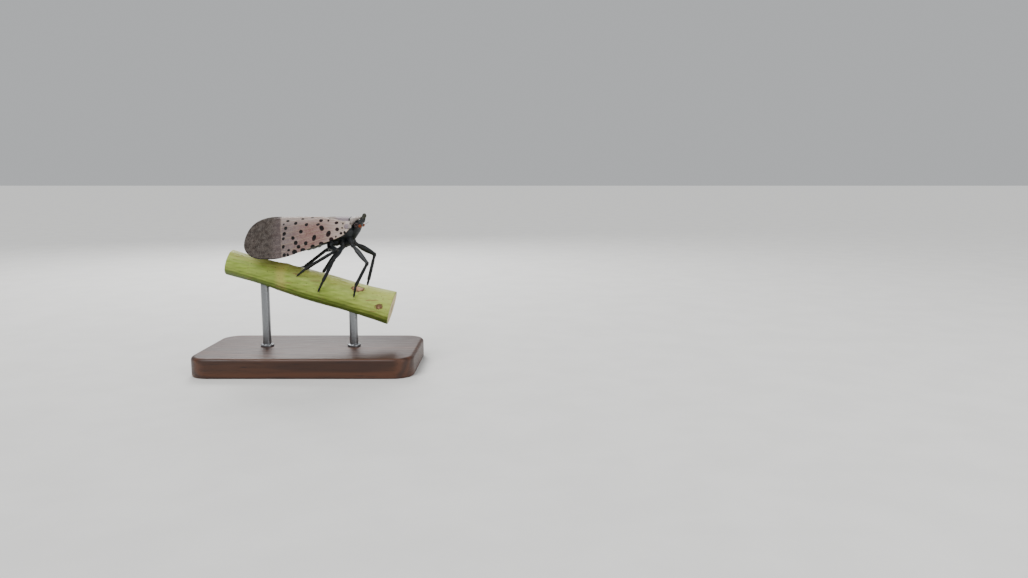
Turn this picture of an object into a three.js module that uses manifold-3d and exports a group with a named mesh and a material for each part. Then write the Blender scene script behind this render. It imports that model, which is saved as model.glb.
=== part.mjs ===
// A spotted lanternfly at rest on a short cut length of vine stem, held by a plain display stand.
// Millimetres, +Z up, +X towards the head, +Y to the insect's left. The origin is the middle of the
// stand's underside.

import * as THREE from 'three';
import { mergeVertices } from 'three/addons/utils/BufferGeometryUtils.js';
import Module from 'manifold-3d';

const wasm = await Module();
wasm.setup();

// Driving dimensions
const gap = 0.3; // between neighbouring pieces
const footGap = 0.2; // between a foot and the stem
const sheet = 0.5; // thickness of a wing
const bodyLevel = 23; // height of the insect's own origin above the floor
const ridgeLevel = 7.85; // the wings' ridge above that origin

const stand = { length: 44, width: 24, thickness: 4, corner: 4, bevel: 0.6, rodRadius: 0.9, rodAt: [-9.5, 8.5] };
const stem = { halfLength: 16.5, tilt: 0.29, level: -6.2, radius: 3.05, taper: 0.026, swell: 0.12, sides: 20 };

// The forewings hang from the ridge like a tent: a round shoulder, then a straight slope.
const tentFront = { x: 6, ridgeTilt: 0, slope: 72, shoulder: 3.4 };
const tentRear = { x: -5, ridgeTilt: 18, slope: 68, shoulder: 4.2 };
const forewing = {
  root: 8.7,
  tip: -12.05,
  tipAcross: 6.9,
  innerRound: -6.4,
  costalRound: -8.4,
  // how far across the tent the costal margin lies, by station
  costal: [[-8.4, 10.0], [-5.5, 9.95], [-3, 9.35], [0, 8.15], [3, 6.95], [6, 5.85], [7.7, 4.9], [8.7, 3.7]],
};
const hindwing = { root: 3.1, tip: -9.2, inner: 1.15, inset: 1.1, round: 4.6, tipAcross: 5.4 };
const scutellum = { tip: 3.1, front: 8.7, halfWidth: 2.1, tipHalfWidth: 0.35, keel: 0.08 };

// Veins stand up as ridges. A course gives the share of the wing's width at its root, middle and tip.
const vein = { height: 0.15, halfWidth: 0.018, nodalLine: -5.4, nodalHalfWidth: 0.12 };
const forewingVeins = [
  [0.13, 0.09, 0.13],
  [0.26, 0.2, 0.25],
  [0.38, 0.34, 0.37],
  [0.48, 0.47, 0.5],
  [0.58, 0.59, 0.62],
  [0.69, 0.72, 0.75],
  [0.84, 0.88, 0.87],
];
const hindwingVeins = [
  [0.2, 0.16, 0.2],
  [0.42, 0.38, 0.4],
  [0.62, 0.6, 0.6],
  [0.82, 0.84, 0.82],
];

// Body sections in upright planes: [station, lowest, highest, half width]
const thoraxSections = [
  [2.5, 1.8, 6.2, 1.6],
  [3.4, 2.1, 6.9, 1.9],
  [5.0, 2.5, 7.1, 2.25],
  [6.6, 2.8, 7.1, 2.3],
  [7.8, 3.2, 7.0, 2.1],
  [8.35, 3.4, 6.6, 1.75],
];
const abdomenSections = [
  [-6.9, 0.7, 1.6, 0.5],
  [-6.0, 0.5, 2.4, 1.05],
  [-4.2, 0.6, 3.6, 1.75],
  [-2.0, 0.8, 4.5, 2.1],
  [0.2, 1.1, 5.1, 2.0],
  [2.2, 1.7, 5.6, 1.6],
];
const abdomenRings = 8;
const ringStep = 0.16; // how far each abdominal ring stands over the next
// Head sections in level planes: [level, rear, front, half width]
const headSections = [
  [2.75, 8.45, 8.95, 0.35],
  [3.3, 8.4, 9.4, 0.6],
  [3.9, 8.4, 9.85, 0.9],
  [4.6, 8.5, 10.3, 1.25],
  [5.4, 8.6, 10.65, 1.45],
  [6.2, 8.8, 10.95, 1.5],
  [6.8, 9.8, 11.15, 1.25],
  [7.3, 10.6, 11.35, 0.85],
  [7.7, 10.85, 11.5, 0.52],
  [8.2, 10.95, 11.62, 0.4],
  [8.5, 11.05, 11.58, 0.28],
];
// The collar in upright planes: [station, lowest, highest, half width]
const pronotumSections = [
  [9.0, 6.0, 7.84, 2.15],
  [9.3, 6.4, 7.88, 2.0],
  [9.7, 7.0, 7.9, 1.65],
  [10.3, 7.32, 7.9, 1.05],
  [10.65, 7.5, 7.88, 0.6],
];
const eye = { at: [10.0, 1.5, 6.1], radii: [0.58, 0.45, 0.62] };
const antenna = { at: [10.7, 1.8, 6.0], bulb: 0.42, bristle: 1.6, bristleRadius: 0.2 };
const rostrum = { path: [[8.6, 0, 2.3], [6.2, 0, 1.3], [3.2, 0, 0.7]], radii: [0.32, 0.28, 0.25] };

// Spines along the hind shins, by share of the shin's length, and the pair of claws on each foot
const spines = { shares: [0.3, 0.44, 0.58, 0.72, 0.86], length: 0.75, radius: 0.16, lean: 0.9, teeth: 3 };
const claw = { length: 0.5, radius: 0.13, spread: 0.55 };

// Legs: hip, end of coxa, knee, ankle, foot, each [x, away from the middle, z]
const legRadii = { coxa: 0.6, trochanter: 0.46, knee: 0.36, ankle: 0.29, foot: 0.24, femurSwell: 0.1 };
const legs = {
  foreleg_right: { side: -1, joints: [[8.1, 0.9, 3.9], [8.9, 1.5, 2.3], [12.4, 4.0, -1.25], [9.95, 3.95, -5.8], [9.4, 3.4, -8.0]] },
  foreleg_left: { side: 1, joints: [[8.1, 0.9, 3.9], [8.9, 1.5, 2.3], [12.55, 3.9, -0.2], [11.2, 3.5, -5.6], [10.9, 2.55, -7.3]] },
  midleg_right: { side: -1, joints: [[6.7, 1.0, 3.2], [7.2, 1.6, 1.9], [5.9, 4.25, -0.3], [3.4, 4.0, -4.9], [2.3, 3.4, -6.9]] },
  midleg_left: { side: 1, joints: [[6.7, 1.0, 3.2], [7.0, 1.6, 1.9], [4.4, 4.3, 0.2], [1.75, 3.7, -3.9], [1.1, 3.0, -5.1]] },
  hindleg_right: { side: -1, joints: [[4.6, 0.8, 2.9], [4.3, 1.5, 1.6], [6.6, 4.6, 1.5], [-0.1, 3.6, -2.45], [-1.95, 2.75, -3.85]] },
  hindleg_left: { side: 1, joints: [[4.6, 0.8, 2.9], [4.0, 1.5, 1.6], [3.7, 4.5, 1.7], [-1.9, 3.1, -2.7], [-3.4, 2.4, -3.1]] },
};

const V = (x, y, z) => new THREE.Vector3(x, y, z);
const radians = THREE.MathUtils.degToRad;
const { lerp, clamp } = THREE.MathUtils;

// A smooth curve through [x, value] knots in rising x.
function smooth(knots, x, column = 1) {
  const last = knots.length - 1;
  if (x <= knots[0][0]) return knots[0][column];
  if (x >= knots[last][0]) return knots[last][column];
  const i = knots.findIndex((k) => k[0] > x) - 1;
  const slope = (a, b) => (knots[b][column] - knots[a][column]) / (knots[b][0] - knots[a][0]);
  const s0 = slope(Math.max(i - 1, 0), i + 1);
  const s1 = slope(i, Math.min(i + 2, last));
  const h = knots[i + 1][0] - knots[i][0];
  const t = (x - knots[i][0]) / h;
  return (
    knots[i][column] * (2 * t ** 3 - 3 * t ** 2 + 1) +
    knots[i + 1][column] * (3 * t ** 2 - 2 * t ** 3) +
    s0 * h * (t ** 3 - 2 * t ** 2 + t) +
    s1 * h * (t ** 3 - t ** 2)
  );
}

// A closed geometry from points and triangles, turned to face outwards.
function closed(points, triangles) {
  const volume = triangles.reduce(
    (sum, [a, b, c]) => sum + points[a].dot(new THREE.Vector3().crossVectors(points[b], points[c])),
    0,
  );
  const faces = volume < 0 ? triangles.map(([a, b, c]) => [a, c, b]) : triangles;
  const geometry = new THREE.BufferGeometry().setFromPoints(points);
  geometry.setIndex(faces.flat());
  return geometry;
}

// A solid through rings that all have the same number of points, closed by a fan at each end.
function loft(rings) {
  const n = rings[0].length;
  const points = rings.flat();
  const triangles = [];
  for (let i = 0; i < rings.length - 1; i++)
    for (let j = 0; j < n; j++) {
      const [a, b] = [i * n + j, i * n + ((j + 1) % n)];
      triangles.push([a, b, b + n], [a, b + n, a + n]);
    }
  for (const end of [0, rings.length - 1]) {
    const centre = rings[end].reduce((sum, p) => sum.add(p), V(0, 0, 0)).divideScalar(n);
    const hub = points.push(centre) - 1;
    for (let j = 0; j < n; j++) {
      const [a, b] = [end * n + j, end * n + ((j + 1) % n)];
      triangles.push(end ? [a, b, hub] : [b, a, hub]);
    }
  }
  return closed(points, triangles);
}

// A thin solid between two faces given on the same grid, with triangles alike on both.
function sheetSolid(rows, columns, outer, inner) {
  const points = [];
  const at = (face, i, j) => face * (rows + 1) * (columns + 1) + i * (columns + 1) + j;
  for (const face of [outer, inner])
    for (let i = 0; i <= rows; i++) for (let j = 0; j <= columns; j++) points.push(face(i, j));
  const triangles = [];
  for (let i = 0; i < rows; i++)
    for (let j = 0; j < columns; j++) {
      const [a, b, c, d] = [[i, j], [i, j + 1], [i + 1, j + 1], [i + 1, j]];
      triangles.push([at(0, ...a), at(0, ...b), at(0, ...c)], [at(0, ...a), at(0, ...c), at(0, ...d)]);
      triangles.push([at(1, ...a), at(1, ...c), at(1, ...b)], [at(1, ...a), at(1, ...d), at(1, ...c)]);
    }
  const rim = [];
  for (let j = 0; j < columns; j++) rim.push([0, j]);
  for (let i = 0; i < rows; i++) rim.push([i, columns]);
  for (let j = columns; j > 0; j--) rim.push([rows, j]);
  for (let i = rows; i > 0; i--) rim.push([i, 0]);
  rim.forEach((p, k) => {
    const q = rim[(k + 1) % rim.length];
    triangles.push([at(0, ...q), at(0, ...p), at(1, ...p)], [at(0, ...q), at(1, ...p), at(1, ...q)]);
  });
  return closed(points, triangles);
}

// Joins and cuts
function solidOf(geometry) {
  const bare = geometry.clone();
  bare.deleteAttribute('normal');
  bare.deleteAttribute('uv');
  const merged = mergeVertices(bare, 1e-4);
  const vertProperties = new Float32Array(merged.getAttribute('position').array);
  const triVerts = new Uint32Array(merged.index.array);
  return new wasm.Manifold(new wasm.Mesh({ numProp: 3, vertProperties, triVerts }));
}

function geometryOf(solid) {
  const pieces = solid.decompose();
  const largest = pieces.reduce((a, b) => (b.volume() > a.volume() ? b : a));
  const mesh = largest.getMesh();
  const geometry = new THREE.BufferGeometry();
  geometry.setAttribute('position', new THREE.BufferAttribute(mesh.vertProperties, 3));
  geometry.setIndex(new THREE.BufferAttribute(mesh.triVerts, 1));
  return geometry;
}

const cutBy = (geometry, ...cutters) =>
  geometryOf(cutters.reduce((solid, cutter) => solid.subtract(solidOf(cutter)), solidOf(geometry)));
const joined = (geometry, ...others) =>
  geometryOf(others.reduce((solid, other) => solid.add(solidOf(other)), solidOf(geometry)));

// A point of the wings' tent: across is the distance from the ridge along the section, depth inwards.
function tent(x, across, depth = 0) {
  const k = clamp((tentFront.x - x) / (tentFront.x - tentRear.x), 0, 1.2);
  const start = radians(lerp(tentFront.ridgeTilt, tentRear.ridgeTilt, k));
  const end = radians(lerp(tentFront.slope, tentRear.slope, k));
  const shoulder = lerp(tentFront.shoulder, tentRear.shoulder, k);
  const radius = shoulder / (end - start);
  const reach = Math.abs(across);
  const angle = start + Math.min(reach, shoulder) / radius;
  const straight = Math.max(0, reach - shoulder);
  const y = radius * (Math.sin(angle) - Math.sin(start)) + straight * Math.cos(end);
  const drop = radius * (Math.cos(start) - Math.cos(angle)) + straight * Math.sin(end);
  const side = Math.sign(across);
  return V(x, side * (y - depth * Math.sin(angle)), ridgeLevel - drop - depth * Math.cos(angle));
}

function scutellumHalf(x) {
  if (x < scutellum.tip - gap) return 0;
  const share = clamp((x - scutellum.tip) / (scutellum.front - 1.4 - scutellum.tip), 0, 1);
  return lerp(scutellum.tipHalfWidth, scutellum.halfWidth, share ** 0.9);
}

function innerMargin(x) {
  const beside = gap + scutellumHalf(x);
  if (x > forewing.innerRound) return beside;
  const share = (forewing.innerRound - x) / (forewing.innerRound - forewing.tip);
  return forewing.tipAcross - (forewing.tipAcross - gap) * (1 - share ** 1.8) ** (1 / 1.8);
}

function costalMargin(x) {
  if (x > forewing.costalRound) return smooth(forewing.costal, x);
  const share = (forewing.costalRound - x) / (forewing.costalRound - forewing.tip);
  const widest = forewing.costal[0][1];
  return forewing.tipAcross + (widest - forewing.tipAcross) * Math.sqrt(1 - share ** 2);
}

// Stations along a wing, closer together towards its round tip.
const stations = (root, tip, rows) =>
  Array.from({ length: rows + 1 }, (_, i) => lerp(root, tip, Math.sin(((i / rows) * 0.97 * Math.PI) / 2)));

// The lines of a wing's grid across its width: margins, veins with both their feet, and one line between.
function gridLines(courses, along) {
  const centres = courses.map(([root, middle, tip]) => smooth([[0, root], [0.5, middle], [1, tip]], along));
  const lines = [{ share: 0, lift: 0 }];
  for (const centre of [...centres, 1 + vein.halfWidth]) {
    const before = lines[lines.length - 1].share;
    lines.push({ share: (before + centre - vein.halfWidth) / 2, lift: 0 });
    lines.push({ share: centre - vein.halfWidth, lift: 0 });
    if (centre < 1) lines.push({ share: centre, lift: 1 }, { share: centre + vein.halfWidth, lift: 0 });
  }
  return lines;
}

// One wing as a curved sheet between its inner and outer margins, its veins raised on the outer face.
function wingSolid(side, places, courses, margins, depth) {
  const [root, tip] = [places[0], places[places.length - 1]];
  const grid = places.map((x) => gridLines(courses, (root - x) / (root - tip)));
  const outer = (i, j) => {
    const { share, lift } = grid[i][j];
    const [inner, costal] = margins(places[i]);
    const across = lerp(inner, costal, share);
    const raised = places[i] === vein.nodalLine && share > 0 && share < 1 ? 1 : lift;
    const rise = vein.height * clamp((costal - inner) / 8, 0.3, 1) * raised;
    return tent(places[i], side * across, depth - rise);
  };
  const inside = (i, j) => {
    const [inner, costal] = margins(places[i]);
    return tent(places[i], side * lerp(inner, costal, grid[i][j].share), depth + sheet);
  };
  return sheetSolid(places.length - 1, grid[0].length - 1, outer, inside);
}

function forewingSolid(side) {
  const nodal = [1, 0, -1].map((k) => vein.nodalLine + k * vein.nodalHalfWidth);
  const far = (x) => Math.abs(x - vein.nodalLine) > 3 * vein.nodalHalfWidth;
  const places = [...stations(forewing.root, forewing.tip, 22).filter(far), ...nodal].sort((a, b) => b - a);
  return wingSolid(side, places, forewingVeins, (x) => [innerMargin(x), costalMargin(x)], 0);
}

function hindwingSolid(side) {
  const rounded = (x) => {
    const share = clamp((hindwing.tip + hindwing.round - x) / hindwing.round, 0, 1);
    return Math.sqrt(1 - share ** 2);
  };
  const margins = (x) => [
    lerp(hindwing.tipAcross, hindwing.inner, rounded(x)),
    lerp(hindwing.tipAcross, costalMargin(x) - hindwing.inset, rounded(x)),
  ];
  const places = stations(hindwing.root, hindwing.tip, 14);
  return wingSolid(side, places, hindwingVeins, margins, sheet + gap + vein.height / 2);
}

// The shield between the wings' roots, with a keel along its middle and one each side.
function scutellumSolid() {
  const rows = 9;
  const shares = [-1, -0.8, -0.62, -0.54, -0.46, -0.25, -0.06, 0, 0.06, 0.25, 0.46, 0.54, 0.62, 0.8, 1];
  const keels = [-0.54, 0, 0.54];
  const place = (i) => lerp(scutellum.front, scutellum.tip, i / rows);
  const outer = (i, j) => {
    const rise = keels.includes(shares[j]) ? scutellum.keel : 0;
    return tent(place(i), shares[j] * scutellumHalf(place(i)), -rise);
  };
  const inner = (i, j) => tent(place(i), shares[j] * scutellumHalf(place(i)), sheet);
  return sheetSolid(rows, shares.length - 1, outer, inner);
}

// All the room outside a given depth below the wings' outer face, between two stations.
function underTent(from, to, depth) {
  const columns = 24;
  const face = (d) => (i, j) => tent(i ? to : from, lerp(-9, 9, j / columns), d);
  return sheetSolid(1, columns, face(-3), face(depth));
}

// A ring in an upright plane, squarer than an ellipse.
function uprightRing(x, low, high, half, sides = 20) {
  return Array.from({ length: sides }, (_, j) => {
    const angle = (2 * Math.PI * j) / sides;
    const [c, s] = [Math.cos(angle), Math.sin(angle)];
    const round = (v) => Math.sign(v) * Math.abs(v) ** 0.9;
    return V(x, half * round(c), (low + high) / 2 + ((high - low) / 2) * round(s));
  });
}

function uprightLoft(sections, steps, grow = 0) {
  const [first, last] = [sections[0][0], sections[sections.length - 1][0]];
  const rings = [];
  for (let i = 0; i <= steps; i++) {
    const x = lerp(first, last, i / steps);
    const [low, high, half] = [1, 2, 3].map((column) => smooth(sections, x, column));
    const end = i === 0 ? -grow : i === steps ? grow : 0;
    rings.push(uprightRing(x + end, low - grow, high + grow, half + grow));
  }
  return loft(rings);
}

// The abdomen's rings each start wider than the one before ends.
function abdomenSolid() {
  const [first, last] = [abdomenSections[0][0], abdomenSections[abdomenSections.length - 1][0]];
  const rings = [];
  for (let i = 0; i < abdomenRings; i++)
    for (const [share, out] of [[0.02, ringStep], [0.5, ringStep * 0.7], [0.98, 0]]) {
      const x = lerp(first, last, (i + share) / abdomenRings);
      const [low, high, half] = [1, 2, 3].map((column) => smooth(abdomenSections, x, column));
      rings.push(uprightRing(x, low - out, high + out, half + out));
    }
  return loft(rings);
}

function headLoft(grow = 0, keel = 0.08) {
  const sides = 24;
  const steps = 14;
  const [first, last] = [headSections[0][0], headSections[headSections.length - 1][0]];
  const rings = [];
  for (let i = 0; i <= steps; i++) {
    const z = lerp(first, last, i / steps);
    const [rear, front, half] = [1, 2, 3].map((column) => smooth(headSections, z, column));
    rings.push(
      Array.from({ length: sides }, (_, j) => {
        const angle = (2 * Math.PI * j) / sides;
        const raised = j === 2 || j === sides - 2 ? keel : 0; // the two keels of the face
        const length = (front - rear) / 2 + grow + raised;
        return V((rear + front) / 2 + length * Math.cos(angle), (half + grow + raised) * Math.sin(angle), z);
      }),
    );
  }
  return loft(rings);
}

function ball(at, radii, side, grow = 0) {
  const geometry = new THREE.SphereGeometry(1, 14, 9);
  geometry.scale(...radii.map((r) => r + grow));
  return geometry.translate(at[0], side * at[1], at[2]);
}

// A limb of straight segments that meet in mitred faces, each given a bulge in its middle.
function limb(joints, radii, sides = 8) {
  const axes = joints.slice(1).map((p, i) => p.clone().sub(joints[i]).normalize());
  const plane = (i) => {
    const normal = (axes[i - 1] ?? axes[0]).clone();
    return axes[i] ? normal.add(axes[i]).normalize() : normal;
  };
  return axes.map((axis, i) => {
    const across = new THREE.Vector3().crossVectors(axis, V(0, 0, 1)).normalize();
    const up = new THREE.Vector3().crossVectors(across, axis);
    const ring = (at, radius, normal, clear) =>
      Array.from({ length: sides }, (_, j) => {
        const angle = (2 * Math.PI * (j + 0.5)) / sides;
        const spoke = across.clone().multiplyScalar(Math.cos(angle)).addScaledVector(up, Math.sin(angle));
        const p = at.clone().addScaledVector(spoke, radius);
        const shift = (clear - p.clone().sub(at).dot(normal)) / axis.dot(normal);
        return p.addScaledVector(axis, shift);
      });
    const [from, to] = [joints[i], joints[i + 1]];
    const [first, swell, last] = radii[i];
    const length = from.distanceTo(to);
    const slant = (normal) => Math.tan(Math.acos(Math.min(1, axis.dot(normal))));
    const begin = (first + swell) * slant(plane(i)) + 0.3;
    const finish = length - (last + swell) * slant(plane(i + 1)) - 0.3;
    const rings = [ring(from, first, plane(i), i ? gap / 2 : 0)];
    for (const along of finish > begin ? [begin, (begin + finish) / 2, finish] : []) {
      const share = along / length;
      const radius = lerp(first, last, share) + swell * (1 - (2 * share - 1) ** 2);
      rings.push(ring(from.clone().addScaledVector(axis, along), radius, axis, 0));
    }
    rings.push(ring(to, last, plane(i + 1), i < axes.length - 1 ? -gap / 2 : 0));
    return loft(rings);
  });
}

// A tapering spine that starts at a point.
function spine(from, direction, length, radius) {
  const cone = new THREE.ConeGeometry(radius, length, 5);
  cone.translate(0, length / 2, 0);
  cone.applyQuaternion(new THREE.Quaternion().setFromUnitVectors(V(0, 1, 0), direction.clone().normalize()));
  return cone.translate(from.x, from.y, from.z);
}

// A row of spines down the outside of a hind shin and a few teeth round its end.
function shinSpines(knee, ankle, side) {
  const axis = ankle.clone().sub(knee).normalize();
  const outward = V(0, side, 0).addScaledVector(axis, -side * axis.y).normalize();
  const set = spines.shares.map((share) => {
    const root = knee.clone().lerp(ankle, share);
    return spine(root, outward.clone().addScaledVector(axis, spines.lean), spines.length, spines.radius);
  });
  for (let k = 0; k < spines.teeth; k++) {
    const turn = (k / (spines.teeth - 1) - 0.5) * 0.9 * Math.PI;
    const way = outward.clone().applyAxisAngle(axis, turn).addScaledVector(axis, 0.6);
    set.push(spine(knee.clone().lerp(ankle, 0.95), way, spines.length * 0.75, spines.radius));
  }
  return set;
}

function footClaws(ankle, foot) {
  const axis = foot.clone().sub(ankle).normalize();
  const across = new THREE.Vector3().crossVectors(axis, V(0, 0, 1)).normalize();
  const root = foot.clone().addScaledVector(axis, -0.12);
  return [-1, 1].map((k) =>
    spine(root, axis.clone().addScaledVector(across, k * claw.spread), claw.length, claw.radius),
  );
}

// The stem's middle line and radius
const stemDown = V(1, 0, -stem.tilt).normalize();
const stemPoint = (x) => V(x, 0, stem.level - stem.tilt * x);
const stemRadius = (x) => stem.radius + stem.taper * x + stem.swell * Math.cos(x / 3.2);

function stemSolid(grow = 0) {
  const steps = 18;
  const up = new THREE.Vector3().crossVectors(stemDown, V(0, 1, 0));
  const rings = [];
  for (let i = 0; i <= steps; i++) {
    const x = lerp(-stem.halfLength, stem.halfLength, i / steps);
    rings.push(
      Array.from({ length: stem.sides }, (_, j) => {
        const angle = (2 * Math.PI * j) / stem.sides;
        const reach = stemRadius(x) + grow;
        return stemPoint(x).addScaledVector(up, reach * Math.sin(angle)).add(V(0, reach * Math.cos(angle), 0));
      }),
    );
  }
  return loft(rings);
}

function baseSolid() {
  const shape = new THREE.Shape();
  const [a, b, r] = [stand.length / 2 - stand.bevel, stand.width / 2 - stand.bevel, stand.corner];
  shape.absarc(a - r, b - r, r, 0, Math.PI / 2);
  shape.absarc(-a + r, b - r, r, Math.PI / 2, Math.PI);
  shape.absarc(-a + r, -b + r, r, Math.PI, 1.5 * Math.PI);
  shape.absarc(a - r, -b + r, r, 1.5 * Math.PI, 2 * Math.PI);
  const geometry = new THREE.ExtrudeGeometry(shape, {
    depth: stand.thickness - 2 * stand.bevel,
    bevelThickness: stand.bevel,
    bevelSize: stand.bevel,
    bevelSegments: 2,
    curveSegments: 5,
  });
  return geometry.translate(0, 0, stand.bevel);
}

function rodSolid(x) {
  const [foot, head] = [stand.thickness + gap, bodyLevel + stemPoint(x).z];
  const rod = new THREE.CylinderGeometry(stand.rodRadius, stand.rodRadius, head - foot, 16);
  rod.rotateX(Math.PI / 2).translate(x, 0, (foot + head) / 2);
  return cutBy(rod, stemSolid(gap).translate(0, 0, bodyLevel));
}

const finishes = {
  dark: { color: 0x23282b, roughness: 0.6 },
  eye: { color: 0x3a1c1a, roughness: 0.25 },
  orange: { color: 0xd9722a, roughness: 0.5 },
  wing: { color: 0xa8968f, roughness: 0.65 },
  hindwing: { color: 0xb03528, roughness: 0.6 },
  collar: { color: 0xa59b96, roughness: 0.7 },
  abdomen: { color: 0xc9a43a, roughness: 0.55 },
  stem: { color: 0x98a850, roughness: 0.6 },
  base: { color: 0x4b3426, roughness: 0.5 },
  rod: { color: 0xb9bcbf, roughness: 0.3, metalness: 1 },
};

const model = new THREE.Group();
const insect = new THREE.Group();
insect.position.z = bodyLevel;
model.add(insect);

function add(group, name, geometry, finish) {
  const mesh = new THREE.Mesh(geometry, new THREE.MeshStandardMaterial(finishes[finish]));
  mesh.name = name;
  group.add(mesh);
}

const underForewings = underTent(2.4, 9, sheet + gap + 0.03);
const underHindwings = underTent(-8, 3.5, 2 * sheet + 2 * gap + vein.height / 2);
const thorax = cutBy(uprightLoft(thoraxSections, 9), underForewings, underHindwings);
const thoraxRoom = uprightLoft(thoraxSections, 9, gap);
const headRoom = headLoft(gap, 0);
const stemRoom = stemSolid(footGap);
const sides = { right: -1, left: 1 };

add(insect, 'thorax', thorax, 'dark');
add(insect, 'scutellum', scutellumSolid(), 'collar');
add(insect, 'pronotum', cutBy(uprightLoft(pronotumSections, 6), headRoom, thoraxRoom), 'collar');
add(insect, 'abdomen', cutBy(abdomenSolid(), underHindwings), 'abdomen');
add(
  insect,
  'head',
  cutBy(headLoft(), ball(eye.at, eye.radii, -1, gap), ball(eye.at, eye.radii, 1, gap), thoraxRoom),
  'dark',
);

const beak = limb(
  rostrum.path.map((p) => V(...p)),
  rostrum.radii.slice(1).map((r, i) => [rostrum.radii[i], 0, r]),
);
beak.forEach((geometry, i) => add(insect, `rostrum_${i + 1}`, cutBy(geometry, headRoom, thoraxRoom), 'dark'));

for (const [name, side] of Object.entries(sides)) {
  add(insect, `eye_${name}`, ball(eye.at, eye.radii, side), 'eye');
  const bulb = ball(antenna.at, Array(3).fill(antenna.bulb), side);
  const [x, y, z] = antenna.at;
  const bristle = spine(V(x, side * y, z), V(0.7, side * 0.8, 0.35), antenna.bristle, antenna.bristleRadius);
  const eyeRoom = ball(eye.at, eye.radii, side, gap);
  add(insect, `antenna_${name}`, cutBy(joined(bulb, bristle), headRoom, eyeRoom), 'orange');
  add(insect, `forewing_${name}`, forewingSolid(side), 'wing');
  add(insect, `hindwing_${name}`, hindwingSolid(side), 'hindwing');
}

for (const [leg, { side, joints }] of Object.entries(legs)) {
  const r = legRadii;
  const points = joints.map(([x, y, z]) => V(x, side * y, z));
  const segments = limb(
    points,
    [[r.coxa, 0.05, r.trochanter], [r.trochanter, r.femurSwell, r.knee], [r.knee - 0.04, -0.03, r.ankle], [r.ankle, 0, r.foot]],
  );
  const [coxa, femur, tibia, tarsus] = segments;
  const shin = leg.startsWith('hindleg') ? joined(tibia, ...shinSpines(points[2], points[3], side)) : tibia;
  add(insect, `${leg}_coxa`, cutBy(coxa, thoraxRoom, headRoom), 'dark');
  add(insect, `${leg}_femur`, femur, 'dark');
  add(insect, `${leg}_tibia`, shin, 'dark');
  add(insect, `${leg}_tarsus`, cutBy(joined(tarsus, ...footClaws(points[3], points[4])), stemRoom), 'dark');
}

add(insect, 'perch_stem', stemSolid(), 'stem');
add(model, 'stand_base', baseSolid(), 'base');
add(model, 'stand_rod_rear', rodSolid(stand.rodAt[0]), 'rod');
add(model, 'stand_rod_front', rodSolid(stand.rodAt[1]), 'rod');

export default model;
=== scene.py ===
# A spotted lanternfly at rest on a short cut length of vine stem, on a plain display stand.
import math
import random

import bmesh
import bpy
import numpy as np
from mathutils import Matrix, Vector, noise


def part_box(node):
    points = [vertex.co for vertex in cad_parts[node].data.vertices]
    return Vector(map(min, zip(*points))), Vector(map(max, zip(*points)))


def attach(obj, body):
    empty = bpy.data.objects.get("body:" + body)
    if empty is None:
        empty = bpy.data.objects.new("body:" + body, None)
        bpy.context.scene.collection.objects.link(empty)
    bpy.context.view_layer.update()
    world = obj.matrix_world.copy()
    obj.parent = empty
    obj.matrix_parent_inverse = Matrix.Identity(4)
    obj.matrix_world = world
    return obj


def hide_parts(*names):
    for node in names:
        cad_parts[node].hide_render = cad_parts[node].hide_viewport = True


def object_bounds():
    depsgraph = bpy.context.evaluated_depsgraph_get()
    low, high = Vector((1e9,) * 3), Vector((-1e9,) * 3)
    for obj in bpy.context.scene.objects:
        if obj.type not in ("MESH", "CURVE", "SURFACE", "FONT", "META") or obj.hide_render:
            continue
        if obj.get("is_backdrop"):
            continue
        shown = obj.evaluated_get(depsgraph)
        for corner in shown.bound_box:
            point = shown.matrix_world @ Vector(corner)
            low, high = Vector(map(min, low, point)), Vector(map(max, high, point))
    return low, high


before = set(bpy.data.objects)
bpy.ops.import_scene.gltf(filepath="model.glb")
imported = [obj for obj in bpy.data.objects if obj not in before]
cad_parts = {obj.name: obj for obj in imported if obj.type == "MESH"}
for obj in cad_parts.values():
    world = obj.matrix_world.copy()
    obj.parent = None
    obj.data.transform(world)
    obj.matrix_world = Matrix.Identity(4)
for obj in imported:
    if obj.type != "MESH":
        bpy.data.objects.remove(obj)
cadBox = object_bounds()
print("frame loaded:", len(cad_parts), "nodes")

# Pieces are made in millimetres round the insect's own zero and set down in metres when finished.
bodyLevel = 23.0
toFrame = Matrix.Translation((0, 0, bodyLevel * 0.001)) @ Matrix.Scale(0.001, 4)
sides = {"right": -1, "left": 1}

photoCamera = {
    "place": (41.7, -164.36, 39.08),  # mm from the middle of the stand's underside
    "downward": 8.0,  # degrees
    "lens": 28.26,
    "sensor": 36.0,
    "clipStart": 0.005,
}
# Lamps: kind, place and target in mm, size in mm or spread in degrees, strength
studioLights = {
    "daylight": ("SUN", (-420, -620, 950), (0, 0, 0), 32, 2.1),
    "fillLight": ("AREA", (230, -170, 120), (0, 0, 22), 200, 0.3),
    "rimLight": ("AREA", (-60, 210, 190), (0, 0, 26), 140, 0.6),
}
sky = {"colour": (0.86, 0.88, 0.9, 1), "strength": 0.58}


def addToScene(name, data):
    thing = bpy.data.objects.new(name, data)
    bpy.context.scene.collection.objects.link(thing)
    return thing


cameraData = bpy.data.cameras.new("photoCamera")
cameraData.lens = photoCamera["lens"]
cameraData.sensor_width = photoCamera["sensor"]
cameraData.clip_start = photoCamera["clipStart"]
cameraObject = addToScene("photoCamera", cameraData)
cameraObject.location = Vector(photoCamera["place"]) * 0.001
cameraObject.rotation_euler = (math.radians(90 - photoCamera["downward"]), 0, 0)
bpy.context.scene.camera = cameraObject

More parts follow.
